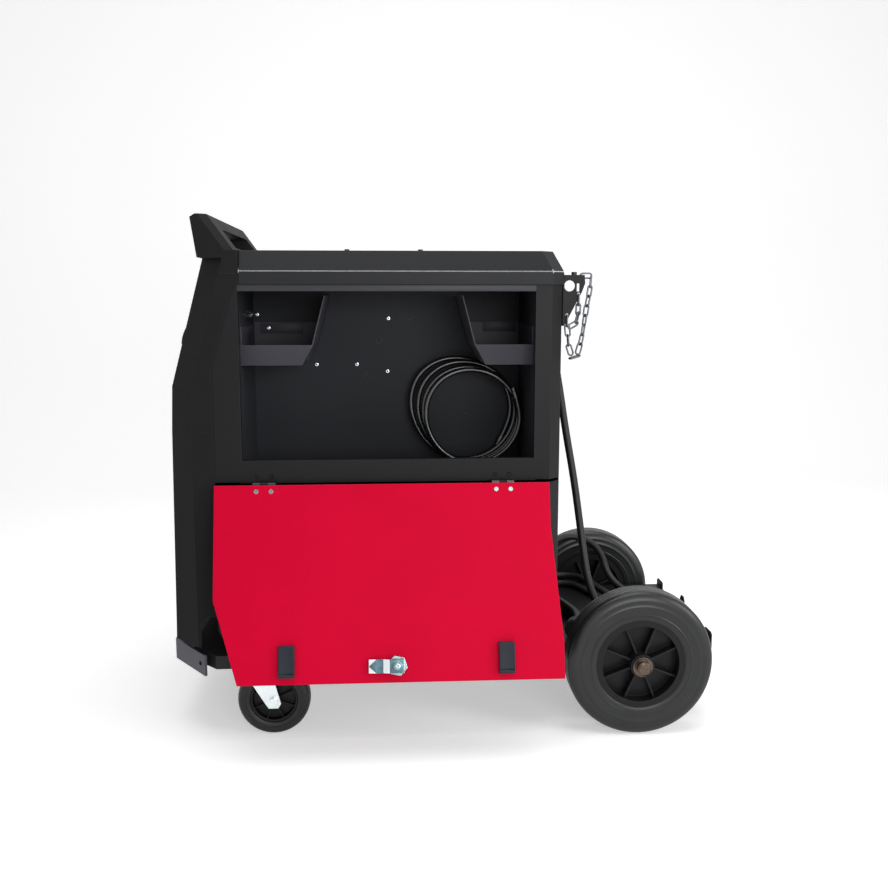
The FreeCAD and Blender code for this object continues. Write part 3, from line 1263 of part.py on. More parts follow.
CORD_ROUTE = [
    (-124, 0, 660), (-115, 0, 630), (-106, -3, 580), (-95, -9, 505), (-79, -20, 412), (-69, -33, 332),
    (-63, -47, 272), (-57, -63, 224), (-46, -84, 187), (-26, -108, 166), (5, -125, 152.5), (42, -127, 149.5),
    (76, -110, 149.5), (99, -81, 149.5), (106, -44, 149.5), (98, -6, 149.5), (79, 32, 151), (55, 68, 156),
    (34, 101, 167), (22, 130, 187), (19, 149, 211), (3, 167, 235), (-27, 177, 248.5), (-61, 177, 248.5),
    (-91, 167, 235), (-108, 149, 211), (-110, 127, 184), (-107, 98, 163)]
strand, _ = tube("power_cord", rounded_route("power_cord", CORD_ROUTE + [
    tuple(bundle_point(-40, offsets[0], deck_level)), tuple(bundle_start)]), cord_radius)
plug_back = Vector(-86, -118, d.platform_top.value + d.plug_diameter.value / 2 + 0.5)
tail, _ = tube("power_cord_tail", rounded_route("power_cord_tail", [
    tuple(bundle_end), tuple(bundle_point(78, offsets[-1], levels[-1])),
    (-77, -86, plug_back.z), tuple(plug_back)]), cord_radius)
keep_shape("power_cord", [strand, tail])
bundle, bundle_path = tube("cord_bundle", turns, cord_radius)
least_gap("cord_bundle", bundle_path, cord_radius * 2)
keep_shape("cord_bundle", [bundle])

gland = new_body("cord_gland")
turn(gland, "Revolution", "XZ", "H", [
    (-10, 0), (-10, 17), (-2.2, 17), (-2.2, 13), (0.1, 13), (0.1, 18), (3.5, 18), (6, 12), (9, 9), (9, 0)])
place(gland, x=shell_rear, z=d.cord_height)
boot = new_body("cord_boot")
turn(boot, "Revolution", "XZ", "V", [(0, 11), (7, 9), (11, 3), (11.5, -4), (8.5, -32), (0, -32)])
place(boot, x=shell_rear + 7.8, z=d.cord_height + 0.65, axis=(0, 1, 0), angle=-d.cord_exit_lean)
strain_relief = joined("cord_strain_relief", [gland, boot])
parts.append(strain_relief)

plug = new_body("power_plug")
plug_radius = d.plug_diameter / 2
turn(plug, "Revolution", "XY", "H", [
    (0, 0), (0, 8.5), (12, 10.5), (19, plug_radius - 2), (24, plug_radius), (d.plug_length - 2, plug_radius),
    (d.plug_length, plug_radius - 2), (d.plug_length, 0)])
pad(plug, "YZ", d.plug_length - 1, 18, rect(-7.1, -1, -5.6, 5.3), rect(5.6, -1, 7.1, 5.3), disc(0, -7, 2.4))
plug_turn = math.degrees(math.atan2(plug_back.y + 86, plug_back.x + 77))
keep(plug, x=plug_back.x, y=plug_back.y, z=plug_back.z, axis=(0, 0, 1), angle=plug_turn)


coil_back_x = -289
coil_back_y = -18
coil_drift = 1.5
coil_pitch = 15
hose_turns = 4.2


def helix_point(turns_made):
    """A place on the stored hose and its heading, after a number of turns from its hidden end."""
    angle = math.radians(-40) + 2 * math.pi * turns_made
    radius = d.hose_coil_radius.value
    height = (bay_floor + d.thin_sheet + d.hose_diameter / 2 + d.hose_coil_radius + 0.3).value
    place_now = Vector(coil_back_x + coil_drift * turns_made + radius * math.cos(angle),
                       coil_back_y - coil_pitch * turns_made, height + radius * math.sin(angle))
    heading = Vector(coil_drift / (2 * math.pi) - radius * math.sin(angle), -coil_pitch / (2 * math.pi),
                     radius * math.cos(angle)).normalize()
    return place_now, heading


quarters = [helix_point(number / 4) for number in range(17)] + [helix_point(hose_turns)]
hose_edges = [Part.LineSegment(quarters[0][0] - quarters[0][1] * d.hose_diameter.value,
                               quarters[0][0]).toShape()]
for (before, heading), (after, next_heading) in zip(quarters, quarters[1:]):
    hose_edges += biarc(before, heading, after, next_heading)
hose_edges.append(Part.LineSegment(quarters[-1][0],
                                   quarters[-1][0] + quarters[-1][1] * d.hose_diameter.value).toShape())
hose, hose_path = tube("gas_hose", hose_edges, d.hose_diameter.value / 2)
least_gap("gas_hose", hose_path, d.hose_diameter.value)
keep_shape("gas_hose", [hose])

wire_radius = d.chain_wire.value / 2
link_half = (d.chain_link_length.value - d.chain_link_width.value) / 2
link_side = (d.chain_link_width.value - d.chain_wire.value) / 2


def link(middle, heading, turned):
    """One welded link, its long axis along a heading, its plane square to the last one's."""
    corners = [Vector(link_side, 0, -link_half), Vector(link_side, 0, link_half),
               Vector(0, 0, link_half + link_side), Vector(-link_side, 0, link_half),
               Vector(-link_side, 0, -link_half), Vector(0, 0, -link_half - link_side)]
    loop = Part.Wire([Part.LineSegment(corners[0], corners[1]).toShape(),
                      Part.Arc(corners[1], corners[2], corners[3]).toShape(),
                      Part.LineSegment(corners[3], corners[4]).toShape(),
                      Part.Arc(corners[4], corners[5], corners[0]).toShape()])
    section = Part.Wire(Part.Circle(corners[0], Vector(0, 0, 1), wire_radius).toShape())
    piece = loop.makePipeShell([section], True, False)
    piece.Placement = (Placement(middle, Rotation(Vector(0, 0, 1), heading))
                       .multiply(Placement(Vector(0, 0, 0), Rotation(Vector(0, 0, 1), turned))))
    return piece


def hang_links(points, first_turn, odd):
    """Links along a smooth line, each a quarter turn from the one before, an odd or even number of them."""
    line = Part.BSplineCurve()
    line.interpolate([Vector(*point) for point in points])
    edge = line.toShape()
    pitch = d.chain_link_length.value - 2 * d.chain_wire.value - 0.6
    count = 2 * int(edge.Length / pitch / 2) + odd
    links = []
    for number in range(count):
        parameter = edge.getParameterByLength((number + 0.5) * edge.Length / count)
        links.append(link(edge.valueAt(parameter), edge.tangentAt(parameter), first_turn + 90 * (number % 2)))
    return links


ear_y = (-saddle + skin / 2).value
hook_y = (-saddle + 8).value
reach = link_half + link_side
low_hook, high_hook = [Vector((face + x).value, ear_y, (d.bracket_top - z).value - reach)
                       for x, z in hook_places]
links = [link(Vector((ear_rear - 6).value + reach, hook_y, (d.bracket_top - skin / 2).value),
              Vector(1, 0, 0), 0),
         link(low_hook, Vector(0, 0, 1), 90), link(high_hook, Vector(0, 0, 1), 90)]
links += hang_links([
    ((ear_rear - 6).value + 2 * reach - 1, hook_y, 783), (-92, hook_y, 759), (-96, hook_y - 1, 736),
    (-101, hook_y - 2, 702), (-107, hook_y - 4, 671), (-117, hook_y - 5, 650), (-125, ear_y, 663),
    (-128, ear_y, 681), (low_hook.x, ear_y, low_hook.z - reach + 1)], 90, 0)
links += hang_links([
    (high_hook.x, ear_y, high_hook.z - reach + 1), (high_hook.x - 1, ear_y, 720),
    (high_hook.x - 8, ear_y, 704),
    (high_hook.x - 15, ear_y - 2, 703)], 0, 1)
keep_shape("chain", links)


doc.recompute()

for item in doc.Objects:
    if "Invalid" in item.State or "Error" in item.State:
        raise RuntimeError("not built: " + item.Label)
for piece in parts:
    if piece.Shape.isNull() or not piece.Shape.isValid() or not piece.Shape.Solids:
        raise RuntimeError("no sound solid: " + piece.Label)

os.makedirs("parts", exist_ok=True)
for piece in parts:
    piece.Shape.exportStep(f"parts/{piece.Label}.step")
    print(piece.Label, len(piece.Shape.Solids), "solids", round(piece.Shape.Volume / 1000, 1), "cm3")
print(len(parts), "sub-parts")
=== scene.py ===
import math

import bmesh
import bpy
from mathutils import Matrix, Vector


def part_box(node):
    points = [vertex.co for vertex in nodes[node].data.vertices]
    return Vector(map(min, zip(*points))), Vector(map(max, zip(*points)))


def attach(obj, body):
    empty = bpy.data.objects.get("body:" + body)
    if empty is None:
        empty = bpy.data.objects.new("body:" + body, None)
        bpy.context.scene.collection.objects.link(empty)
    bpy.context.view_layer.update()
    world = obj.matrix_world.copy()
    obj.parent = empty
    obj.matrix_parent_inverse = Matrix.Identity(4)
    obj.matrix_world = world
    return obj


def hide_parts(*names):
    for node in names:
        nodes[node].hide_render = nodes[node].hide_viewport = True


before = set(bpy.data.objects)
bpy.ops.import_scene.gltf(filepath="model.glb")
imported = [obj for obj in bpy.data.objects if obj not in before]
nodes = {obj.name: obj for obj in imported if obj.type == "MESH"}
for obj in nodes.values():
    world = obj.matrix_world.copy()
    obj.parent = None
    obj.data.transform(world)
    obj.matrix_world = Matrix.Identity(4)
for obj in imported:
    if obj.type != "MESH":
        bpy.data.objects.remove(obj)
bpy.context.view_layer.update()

# ---- Studio: a pale paper floor that runs up behind the machine, three soft boxes and an even white room.
# The camera stands a little under the lid's height, somewhat in front of the middle of the tool store side.

scene = bpy.context.scene
scene.view_settings.view_transform = "Standard"


def linear(hex_colour):
    """An sRGB hex colour as linear red, green, blue and alpha."""
    channels = [int(hex_colour[start:start + 2], 16) / 255 for start in (1, 3, 5)]
    return [c / 12.92 if c <= 0.04045 else ((c + 0.055) / 1.055) ** 2.4 for c in channels] + [1.0]


def toned(colour, factor, lift=0.0):
    """A linear colour made darker or lighter, held at white."""
    return [min(1, c * factor + lift) for c in colour[:3]] + [1]


def add_node(tree, kind, values=None, links=None, **settings):
    """Adds one node, sets its options and its inputs, and joins its inputs to the outputs given."""
    made = tree.nodes.new("ShaderNode" + kind)
    for option, value in settings.items():
        setattr(made, option, value)
    for socket, value in (values or {}).items():
        made.inputs[socket].default_value = value
    for socket, source in (links or {}).items():
        tree.links.new(source, made.inputs[socket])
    return made


def new_material(name):
    """An empty node material, its tree and its output node."""
    material = bpy.data.materials.new(name)
    material.use_nodes = True
    tree = material.node_tree
    tree.nodes.clear()
    return material, tree, add_node(tree, "OutputMaterial")


def seen_directly(tree):
    """1 for what the camera sees itself, in a reflection or through glass, and 0 for what lights the rest."""
    rays = add_node(tree, "LightPath")
    seen = add_node(tree, "Math", operation="MAXIMUM",
                    links={0: rays.outputs["Is Camera Ray"], 1: rays.outputs["Is Glossy Ray"]})
    seen = add_node(tree, "Math", operation="MAXIMUM",
                    links={0: seen.outputs[0], 1: rays.outputs["Is Transmission Ray"]})
    return seen.outputs[0]


CAMERA_PLACE = (-0.1055, -1.8079, 0.751)
CAMERA_TILT, CAMERA_TURN = 81.49, -3.5
SENSOR_MM, LENS_MM = 36, 40.03
bpy.ops.object.select_all(action="DESELECT")
bpy.ops.object.camera_add(location=CAMERA_PLACE,
                          rotation=(math.radians(CAMERA_TILT), 0, math.radians(CAMERA_TURN)))
camera = bpy.context.object
camera.data.sensor_width = SENSOR_MM
camera.data.lens = LENS_MM
scene.camera = camera

FLOOR_GLOW = 0.42
ROOM_LIGHT = 0.34
paper, tree, output = new_material("pale_studio_paper")
glow = add_node(tree, "Math", {1: FLOOR_GLOW}, {0: seen_directly(tree)}, operation="MULTIPLY")
shade = add_node(tree, "BsdfDiffuse", {"Color": linear("#F0F0F0")})
light = add_node(tree, "Emission", {"Color": linear("#FFFFFF")}, {"Strength": glow.outputs[0]})
both = add_node(tree, "AddShader", links={0: shade.outputs[0], 1: light.outputs[0]})
tree.links.new(both.outputs[0], output.inputs["Surface"])

bpy.ops.object.select_all(action="DESELECT")
FLOOR_ROWS, FLAT_ROWS, CURVED_ROWS = 48, 24, 16
FLOOR_WIDTH, FLOOR_FRONT, FLOOR_BACK, SWEEP_RADIUS, WALL_ROW = 14, -6, 2, 1.5, 0.5
bpy.ops.mesh.primitive_grid_add(x_subdivisions=2, y_subdivisions=FLOOR_ROWS, size=1)
floor = bpy.context.object
floor.name = "studio_floor"
for corner in floor.data.vertices:
    along = (corner.co.y + 0.5) * FLOOR_ROWS
    corner.co.x *= FLOOR_WIDTH
    if along <= FLAT_ROWS:
        corner.co.y, corner.co.z = FLOOR_FRONT + along * (FLOOR_BACK - FLOOR_FRONT) / FLAT_ROWS, 0
    elif along <= FLAT_ROWS + CURVED_ROWS:
        turn = (along - FLAT_ROWS) / CURVED_ROWS * math.pi / 2
        corner.co.y = FLOOR_BACK + SWEEP_RADIUS * math.sin(turn)
        corner.co.z = SWEEP_RADIUS - SWEEP_RADIUS * math.cos(turn)
    else:
        corner.co.y = FLOOR_BACK + SWEEP_RADIUS
        corner.co.z = SWEEP_RADIUS + (along - FLAT_ROWS - CURVED_ROWS) * WALL_ROW
bpy.ops.object.shade_smooth()
floor.data.materials.append(paper)

room = bpy.data.worlds.new("white_room")
scene.world = room
room.use_nodes = True
tree = room.node_tree
tree.nodes.clear()
level = add_node(tree, "MapRange", {"To Min": ROOM_LIGHT, "To Max": 1.0}, {"Value": seen_directly(tree)})
sky = add_node(tree, "Background", {"Color": linear("#FFFFFF")}, {"Strength": level.outputs[0]})
add_node(tree, "OutputWorld", links={"Surface": sky.outputs[0]})

for name, place, size, power, aim in (
        ("front_soft_box", (0.8, -3.2, 1.0), (1.6, 0.8), 32, (-0.05, 0, 0.5)),
        ("right_soft_box", (2.7, -1.7, 1.4), (1.0, 1.6), 34, (0.1, 0, 0.45)),
        ("top_soft_box", (0.1, -0.3, 3.0), (2.6, 2.0), 50, (-0.05, 0, 0.5))):
    lamp = bpy.data.lights.new(name, "AREA")
    lamp.shape = "RECTANGLE"
    lamp.size, lamp.size_y = size
    lamp.energy = power
    holder = bpy.data.objects.new(name, lamp)
    holder.location = place
    holder.rotation_euler = (Vector(aim) - Vector(place)).to_track_quat("-Z", "Y").to_euler()
    scene.collection.objects.link(holder)

# ---- Mains lead: 14 mm rubber cable, about 2.7 m, held at the case by a moulded boot. It drops behind the
# case, goes round behind the near wheel and over the deck, lies there in a flat oval coil and ends in a plug.

MAINS_DIAMETER = 0.014
DECK_LAY = 0.1493
case_shift = Vector((0.3305, 0.0310775, 0))
lead_points = [Vector(point) / 1000 for point in (
    (-124, 0, 660), (-115, 0, 630), (-106, -3, 580), (-95, -9, 505), (-79, -20, 412), (-69, -33, 332),
    (-63, -47, 272), (-57, -63, 224), (-46, -84, 187), (-26, -108, 166), (5, -125, 152.5), (42, -127, 149.5),
    (76, -110, 149.5), (99, -81, 149.5), (106, -44, 149.5), (98, -6, 149.5), (79, 32, 151), (55, 68, 156),
    (34, 101, 167), (22, 130, 187), (19, 149, 211), (3, 167, 235), (-27, 177, 248.5), (-61, 177, 248.5),
    (-91, 167, 235), (-108, 149, 211), (-110, 127, 184), (-107, 98, 163))]
coil_middle = Vector((-0.048, 0.038, 0))
coil_along = Vector((0.3, -0.953939, 0))
coil_across = Vector((0.953939, 0.3, 0))


def coil_point(run, offset, height):
    """A point of the coil, from its place along and across the oval."""
    return coil_middle + coil_along * run + coil_across * offset + Vector((0, 0, height))


lead_points.append(coil_point(-0.04, -0.042, DECK_LAY))
coil_sides = [-0.042, 0.0495, -0.057, 0.0645, -0.057]
COIL_HALF_RUN = 0.085
COIL_GAP = 0.0006
BEND_STEP = 30
coil_heights = [DECK_LAY, DECK_LAY, DECK_LAY, DECK_LAY + MAINS_DIAMETER + COIL_GAP]
for number, height in enumerate(coil_heights):
    end = 1 if number % 2 == 0 else -1
    before, after = coil_sides[number:number + 2]
    radius = abs(after - before) / 2 / math.cos(math.radians(BEND_STEP / 2))
    for step in range(6):
        swing = math.radians(BEND_STEP / 2 + BEND_STEP * step)
        lead_points.append(coil_point(end * (COIL_HALF_RUN + radius * math.sin(swing)),
                                      (before + after) / 2 - end * radius * math.cos(swing), height))
lead_points += [coil_point(0.06, -0.057, coil_heights[-1]), Vector((-0.077, -0.086, 0.1615)),
                Vector((-0.086, -0.118, 0.1615))]


def smooth_line(name, points, radius, sides=6):
    """A round cord on one smooth curve whose control points are the points of its route."""
    curve = bpy.data.curves.new(name, "CURVE")
    curve.dimensions = "3D"
    curve.resolution_u = 8
    curve.bevel_depth = radius
    curve.bevel_resolution = sides
    curve.use_fill_caps = True
    spline = curve.splines.new("NURBS")
    spline.points.add(len(points) - 1)
    for control, point in zip(spline.points, points):
        control.co = (*point, 1)
    spline.order_u = 3
    spline.use_endpoint_u = True
    cord = bpy.data.objects.new(name, curve)
    scene.collection.objects.link(cord)
    return cord


def black_rubber(name, colour, roughness, grain_mm, relief, shine=0.3):
    """Extruded or moulded rubber: near black, with a fine skin and faint dusty patches."""
    material, tree, output = new_material(name)
    place = add_node(tree, "TexCoord")
    dust = add_node(tree, "TexNoise", {"Scale": 1000 / 60, "Detail": 4, "Roughness": 0.6},
                    {"Vector": place.outputs["Object"]})
    tint = add_node(tree, "ValToRGB", links={"Fac": dust.outputs["Fac"]})
    tint.color_ramp.elements[0].position = 0.35
    tint.color_ramp.elements[0].color = linear(colour)
    tint.color_ramp.elements[1].position = 0.75
    tint.color_ramp.elements[1].color = toned(linear(colour), 1.5, 0.002)
    gloss = add_node(tree, "MapRange", {"To Min": roughness - 0.05, "To Max": roughness + 0.08},
                     {"Value": dust.outputs["Fac"]})
    skin = add_node(tree, "TexNoise", {"Scale": 1000 / grain_mm, "Detail": 2},
                    {"Vector": place.outputs["Object"]})
    bump = add_node(tree, "Bump", {"Strength": relief, "Distance": 0.0004}, {"Height": skin.outputs["Fac"]})
    surface = add_node(tree, "BsdfPrincipled", {"IOR": 1.5, "Specular IOR Level": shine},
                       {"Base Color": tint.outputs["Color"], "Roughness": gloss.outputs[0],
                        "Normal": bump.outputs["Normal"]})
    tree.links.new(surface.outputs[0], output.inputs["Surface"])
    return material


def finish_node(name, material):
    """Gives a CAD piece its finish."""
    slots = nodes[name].data.materials
    slots.clear()
    slots.append(material)


lead_rubber = black_rubber("extruded_lead_rubber", "#171719", 0.4, 1.5, 0.15)
lead = smooth_line("mains_lead", [point + case_shift for point in lead_points], MAINS_DIAMETER / 2)
lead.data.materials.append(lead_rubber)
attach(lead, "machine")
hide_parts("power_cord", "cord_bundle")
moulded_rubber = black_rubber("moulded_plug_rubber", "#161618", 0.5, 2.5, 0.2)
finish_node("cord_strain_relief", moulded_rubber)
finish_node("power_plug", moulded_rubber)

# ---- Gas hose: 9 mm glossy black hose, about 2.3 m, stored standing in the tool bay in a little over four
# loose turns. The turns at the back spread up and forward, those at the mouth lean to the rear. Each end has
# a ferrule.

HOSE_DIAMETER = 0.009
HOSE_TURNS = 4.2
HOSE_STEPS = 14
HOSE_X, HOSE_Y, HOSE_FLOOR = -0.289, -0.018, 0.4523
HOSE_DRIFT, HOSE_PITCH = 0.0015, 0.015
HOSE_START = 40
SHOULDER, SHOULDER_WIDTH, SHOULDER_SPREAD = 140, 45, 0.018
TURN_SHIFT = (-0.003, 0.003, 0.009, 0.009, 0.009, 0.009)
TURN_REACH = (0.0905, 0.0895, 0.085, 0.083, 0.083, 0.083)
hose_points = []
for number in range(int(HOSE_TURNS * HOSE_STEPS) + 1):
    made = number * HOSE_TURNS / int(HOSE_TURNS * HOSE_STEPS)
    turn, part = int(made), made % 1
    swing = math.degrees(2 * math.pi * made) - HOSE_START
    from_shoulder = (swing - SHOULDER + 180) % 360 - 180
    fading = 1 - 0.8 * made / HOSE_TURNS
    spread = SHOULDER_SPREAD * fading * math.exp(-(from_shoulder / SHOULDER_WIDTH) ** 2)
    shift = TURN_SHIFT[turn] * (1 - part) + TURN_SHIFT[turn + 1] * part
    reach = TURN_REACH[turn] * (1 - part) + TURN_REACH[turn + 1] * part
    run = (reach + spread) / math.cos(math.pi / HOSE_STEPS)
    hose_points.append(Vector((HOSE_X + HOSE_DRIFT * made + shift + run * math.cos(math.radians(swing)),
                               HOSE_Y - HOSE_PITCH * made,
                               HOSE_FLOOR + reach + run * math.sin(math.radians(swing)))))
hose = smooth_line("gas_hose_coil", [point + case_shift for point in hose_points], HOSE_DIAMETER / 2, 5)
hose_rubber = black_rubber("extruded_hose_rubber", "#131416", 0.22, 1.2, 0.05, 0.8)
hose.data.materials.append(hose_rubber)
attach(hose, "machine")
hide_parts("gas_hose")


def pick(piece, wanted):
    """Selects the faces of a piece in edit mode that answer a test."""
    bpy.ops.mesh.select_all(action="DESELECT")
    shape = bmesh.from_edit_mesh(piece.data)
    for face in shape.faces:
        face.select_set(wanted(face))
    bmesh.update_edit_mesh(piece.data)


hose_fittings = []
for end, inward in ((0, 1), (-1, -2)):
    place = hose_points[end] + case_shift
    away = (hose_points[end] - hose_points[inward]).normalized()
    bpy.ops.object.select_all(action="DESELECT")
    bpy.ops.mesh.primitive_cylinder_add(vertices=24, radius=0.0056, depth=0.012, location=(0, 0, 0))
    fitting = bpy.context.object
    fitting.name = "rear_hose_ferrule" if end == 0 else "front_hose_ferrule"
    bpy.ops.object.mode_set(mode="EDIT")
    pick(fitting, lambda face: face.normal.z > 0.9)
    bpy.ops.mesh.extrude_region_move(TRANSFORM_OT_translate={"value": (0, 0, 0.001)})
    bpy.ops.transform.resize(value=(0.85, 0.85, 1))
    bpy.ops.mesh.extrude_region_move(TRANSFORM_OT_translate={"value": (0, 0, 0.006)})
    bpy.ops.mesh.inset(thickness=0.0018, depth=-0.004)
    bpy.ops.object.mode_set(mode="OBJECT")
    turned = away.to_track_quat("Z", "Y").to_matrix().to_4x4()
    fitting.data.transform(Matrix.Translation(place - away * 0.004) @ turned)
    bpy.ops.object.shade_smooth_by_angle(angle=math.radians(32))
    hose_fittings.append(fitting)

# ---- Rear wheels: 254 mm solid rubber tyres on moulded rims. The tyre has a flat grooved tread, a moulding
# line at each shoulder and two raised rings on the sidewall, where the light catches. The rim has eight ribs.

BEAD_RADIUS = 0.0741
tyre_rubber = black_rubber("moulded_solid_tyre_rubber", "#121315", 0.32, 1.8, 0.16, 0.4)
tyre_profile = [
    (BEAD_RADIUS, 0.0205), (0.0775, 0.0262), (0.0790, 0.0272), (0.0860, 0.0276), (0.0868, 0.0284),
    (0.0884, 0.0286), (0.0894, 0.0280), (0.0960, 0.0284), (0.1010, 0.0287), (0.1018, 0.0289),
    (0.1030, 0.0289), (0.1040, 0.0284), (0.1090, 0.0280), (0.1120, 0.0284), (0.1135, 0.0282),
    (0.1190, 0.0268), (0.1215, 0.0252), (0.1226, 0.0246), (0.1230, 0.0232), (0.1242, 0.0222),
    (0.1258, 0.0200), (0.1264, 0.0180), (0.1269, 0.0158), (0.1269, 0.0132), (0.1254, 0.0126),
    (0.1254, 0.0112), (0.1270, 0.0106), (0.1270, 0.0054), (0.1254, 0.0048), (0.1254, 0.0034),
    (0.1270, 0.0028)]
tyre_profile += [(radius, -across) for radius, across in reversed(tyre_profile)]


def spun_ring(name, profile, centre, steps):
    """A ring of vertices laid on a profile and spun once round a level axle through the centre."""
    bpy.ops.object.select_all(action="DESELECT")
    bpy.ops.mesh.primitive_circle_add(vertices=len(profile), radius=0.01, location=(0, 0, 0))
    ring = bpy.context.object
    ring.name = name
    for corner, (radius, across) in zip(ring.data.vertices, profile):
        corner.co = (centre[0] + radius, centre[1] + across, centre[2])
    bpy.ops.object.mode_set(mode="EDIT")
    bpy.ops.mesh.select_all(action="SELECT")
    bpy.ops.mesh.spin(steps=steps, angle=2 * math.pi, center=centre, axis=(0, 1, 0))
    bpy.ops.mesh.select_all(action="SELECT")
    bpy.ops.mesh.remove_doubles(threshold=0.00001)
    bpy.ops.mesh.normals_make_consistent(inside=False)
    bpy.ops.object.mode_set(mode="OBJECT")
    bpy.ops.object.shade_smooth_by_angle(angle=math.radians(32))
    return ring


def middle_of(node):
    """The middle of a CAD piece's box at rest."""
    low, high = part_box(node)
    return Vector([(a + b) / 2 for a, b in zip(low, high)])


for side in ("near", "far"):
    tyre = spun_ring(side + "_moulded_tyre", tyre_profile, middle_of(side + "_tyre"), 128)
    tyre.data.materials.append(tyre_rubber)
    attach(tyre, side + "_wheel")
    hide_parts(side + "_tyre")


def edge_shine(tree, width_mm, full=0.86):
    """How far a place lies on an outside edge, from 0 on a flat face to 1, and the rounded edge's normal."""
    rounded = add_node(tree, "Bevel", {"Radius": width_mm / 1000}, samples=6)
    flat = add_node(tree, "NewGeometry")
    match = add_node(tree, "VectorMath", links={0: rounded.outputs["Normal"], 1: flat.outputs["Normal"]},
                     operation="DOT_PRODUCT")
    amount = add_node(tree, "MapRange", {"From Min": 0.998, "From Max": full},
                      {"Value": match.outputs["Value"]})
    return amount.outputs["Result"], rounded.outputs["Normal"]


def moulded_plastic(name, colour, roughness, grain_mm, relief, edge=1.25, shine=0.2):
    """Injection-moulded plastic with a spark-eroded grain, a little shinier along its edges, where they are
    shaded as rounded, and paler there as a painted highlight.
    """
    material, tree, output = new_material(name)
    place = add_node(tree, "TexCoord")
    painted_edge_highlight, round_normal = edge_shine(tree, 0.9)
    cloud = add_node(tree, "TexNoise", {"Scale": 1000 / 90, "Detail": 3},
                     {"Vector": place.outputs["Object"]})
    base = linear(colour)
    patch = add_node(tree, "Mix", {6: toned(base, 0.86), 7: toned(base, 1.12)},
                     {0: cloud.outputs["Fac"]}, data_type="RGBA")
    # The paler colour along the edges is a painted highlight.
    tint = add_node(tree, "Mix", {7: toned(base, edge, 0.012)},
                    {0: painted_edge_highlight, 6: patch.outputs[2]}, data_type="RGBA")
    gloss = add_node(tree, "MapRange", {"To Min": roughness - 0.04, "To Max": roughness + 0.06},
                     {"Value": cloud.outputs["Fac"]})
    grain = add_node(tree, "TexVoronoi", {"Scale": 1000 / grain_mm}, {"Vector": place.outputs["Object"]})
    bump = add_node(tree, "Bump", {"Strength": relief, "Distance": 0.0003},
                    {"Height": grain.outputs["Distance"], "Normal": round_normal})
    surface = add_node(tree, "BsdfPrincipled", {"IOR": 1.5, "Specular IOR Level": shine},
                       {"Base Color": tint.outputs[2], "Roughness": gloss.outputs[0],
                        "Normal": bump.outputs["Normal"]})
    tree.links.new(surface.outputs[0], output.inputs["Surface"])
    return material


# The rim's ribs get a strong painted highlight along their edges.
rim_plastic = moulded_plastic("moulded_polypropylene_rim", "#131315", 0.36, 1.0, 0.05, 3.2, 0.2)
finish_node("near_rim", rim_plastic)
finish_node("far_rim", rim_plastic)


def bare_metal(name, colour, roughness, patch_mm, line_mm=None, contrast=0.12, lift=0.05, black_planes=(),
               black_core=None):
    """Bare or plated metal: soft patches of tone, paler edges as a painted highlight, and fine drawing lines
    where it was turned or rolled. Black are the parts short of a plane, given as its direction and its place
    along that, and the parts round a level axle, given as its middle and a radius."""
    material, tree, output = new_material(name)
    place = add_node(tree, "TexCoord")
    painted_edge_highlight, round_normal = edge_shine(tree, 0.5)
    cloud = add_node(tree, "TexNoise", {"Scale": 1000 / patch_mm, "Detail": 5, "Roughness": 0.65},
                     {"Vector": place.outputs["Object"]})
    base = linear(colour)
    patch = add_node(tree, "Mix", {6: toned(base, 1 - contrast), 7: toned(base, 1 + contrast)},
                     {0: cloud.outputs["Fac"]}, data_type="RGBA")
    # The lifted, paler colour along the edges is a painted highlight.
    tint = add_node(tree, "Mix", {7: toned(base, 1.3, lift)},
                    {0: painted_edge_highlight, 6: patch.outputs[2]}, data_type="RGBA")
    gloss = add_node(tree, "MapRange", {"To Min": roughness - 0.08, "To Max": roughness + 0.1},
                     {"Value": cloud.outputs["Fac"]})
    if line_mm:
        stretch = add_node(tree, "Mapping", {"Scale": (1, 1, 12)}, {"Vector": place.outputs["Object"]})
        lines = add_node(tree, "TexNoise", {"Scale": 1000 / line_mm / 12, "Detail": 3},
                         {"Vector": stretch.outputs["Vector"]})
    else:
        lines = add_node(tree, "TexNoise", {"Scale": 1000 / 1.5, "Detail": 3},
                         {"Vector": place.outputs["Object"]})
    bump = add_node(tree, "Bump", {"Strength": 0.12, "Distance": 0.0002},
                    {"Height": lines.outputs["Fac"], "Normal": round_normal})
    surface = add_node(tree, "BsdfPrincipled", {"Metallic": 1.0},
                       {"Base Color": tint.outputs[2], "Roughness": gloss.outputs[0],
                        "Normal": bump.outputs["Normal"]})
    masks = []
    for direction, reach in black_planes:
        along = add_node(tree, "VectorMath", {1: direction}, {0: place.outputs["Object"]},
                         operation="DOT_PRODUCT")
        masks.append(add_node(tree, "Math", {1: reach}, {0: along.outputs["Value"]}, operation="LESS_THAN"))
    if black_core:
        centre, radius = black_core
        level = add_node(tree, "VectorMath", {1: (1, 0, 1)}, {0: place.outputs["Object"]},
                         operation="MULTIPLY")
        apart = add_node(tree, "VectorMath", {1: centre}, {0: level.outputs["Vector"]}, operation="DISTANCE")
        masks.append(add_node(tree, "Math", {1: radius}, {0: apart.outputs["Value"]}, operation="LESS_THAN"))
    if masks:
        painted = masks[0]
        for mask in masks[1:]:
            painted = add_node(tree, "Math", links={0: painted.outputs[0], 1: mask.outputs[0]},
                               operation="MAXIMUM")
        bare = add_node(tree, "Math", {0: 1.0}, {1: painted.outputs[0]}, operation="SUBTRACT")
        cover = add_node(tree, "Mix", {7: linear("#141416")}, {0: painted.outputs[0], 6: tint.outputs[2]},
                         data_type="RGBA")
        tree.links.new(cover.outputs[2], surface.inputs["Base Color"])
        tree.links.new(bare.outputs[0], surface.inputs["Metallic"])
    tree.links.new(surface.outputs[0], output.inputs["Surface"])
    return material


def dress(piece, material, body):
    """Gives a new piece its finish and the body that it rides on."""
    piece.data.materials.clear()
    piece.data.materials.append(material)
    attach(piece, body)


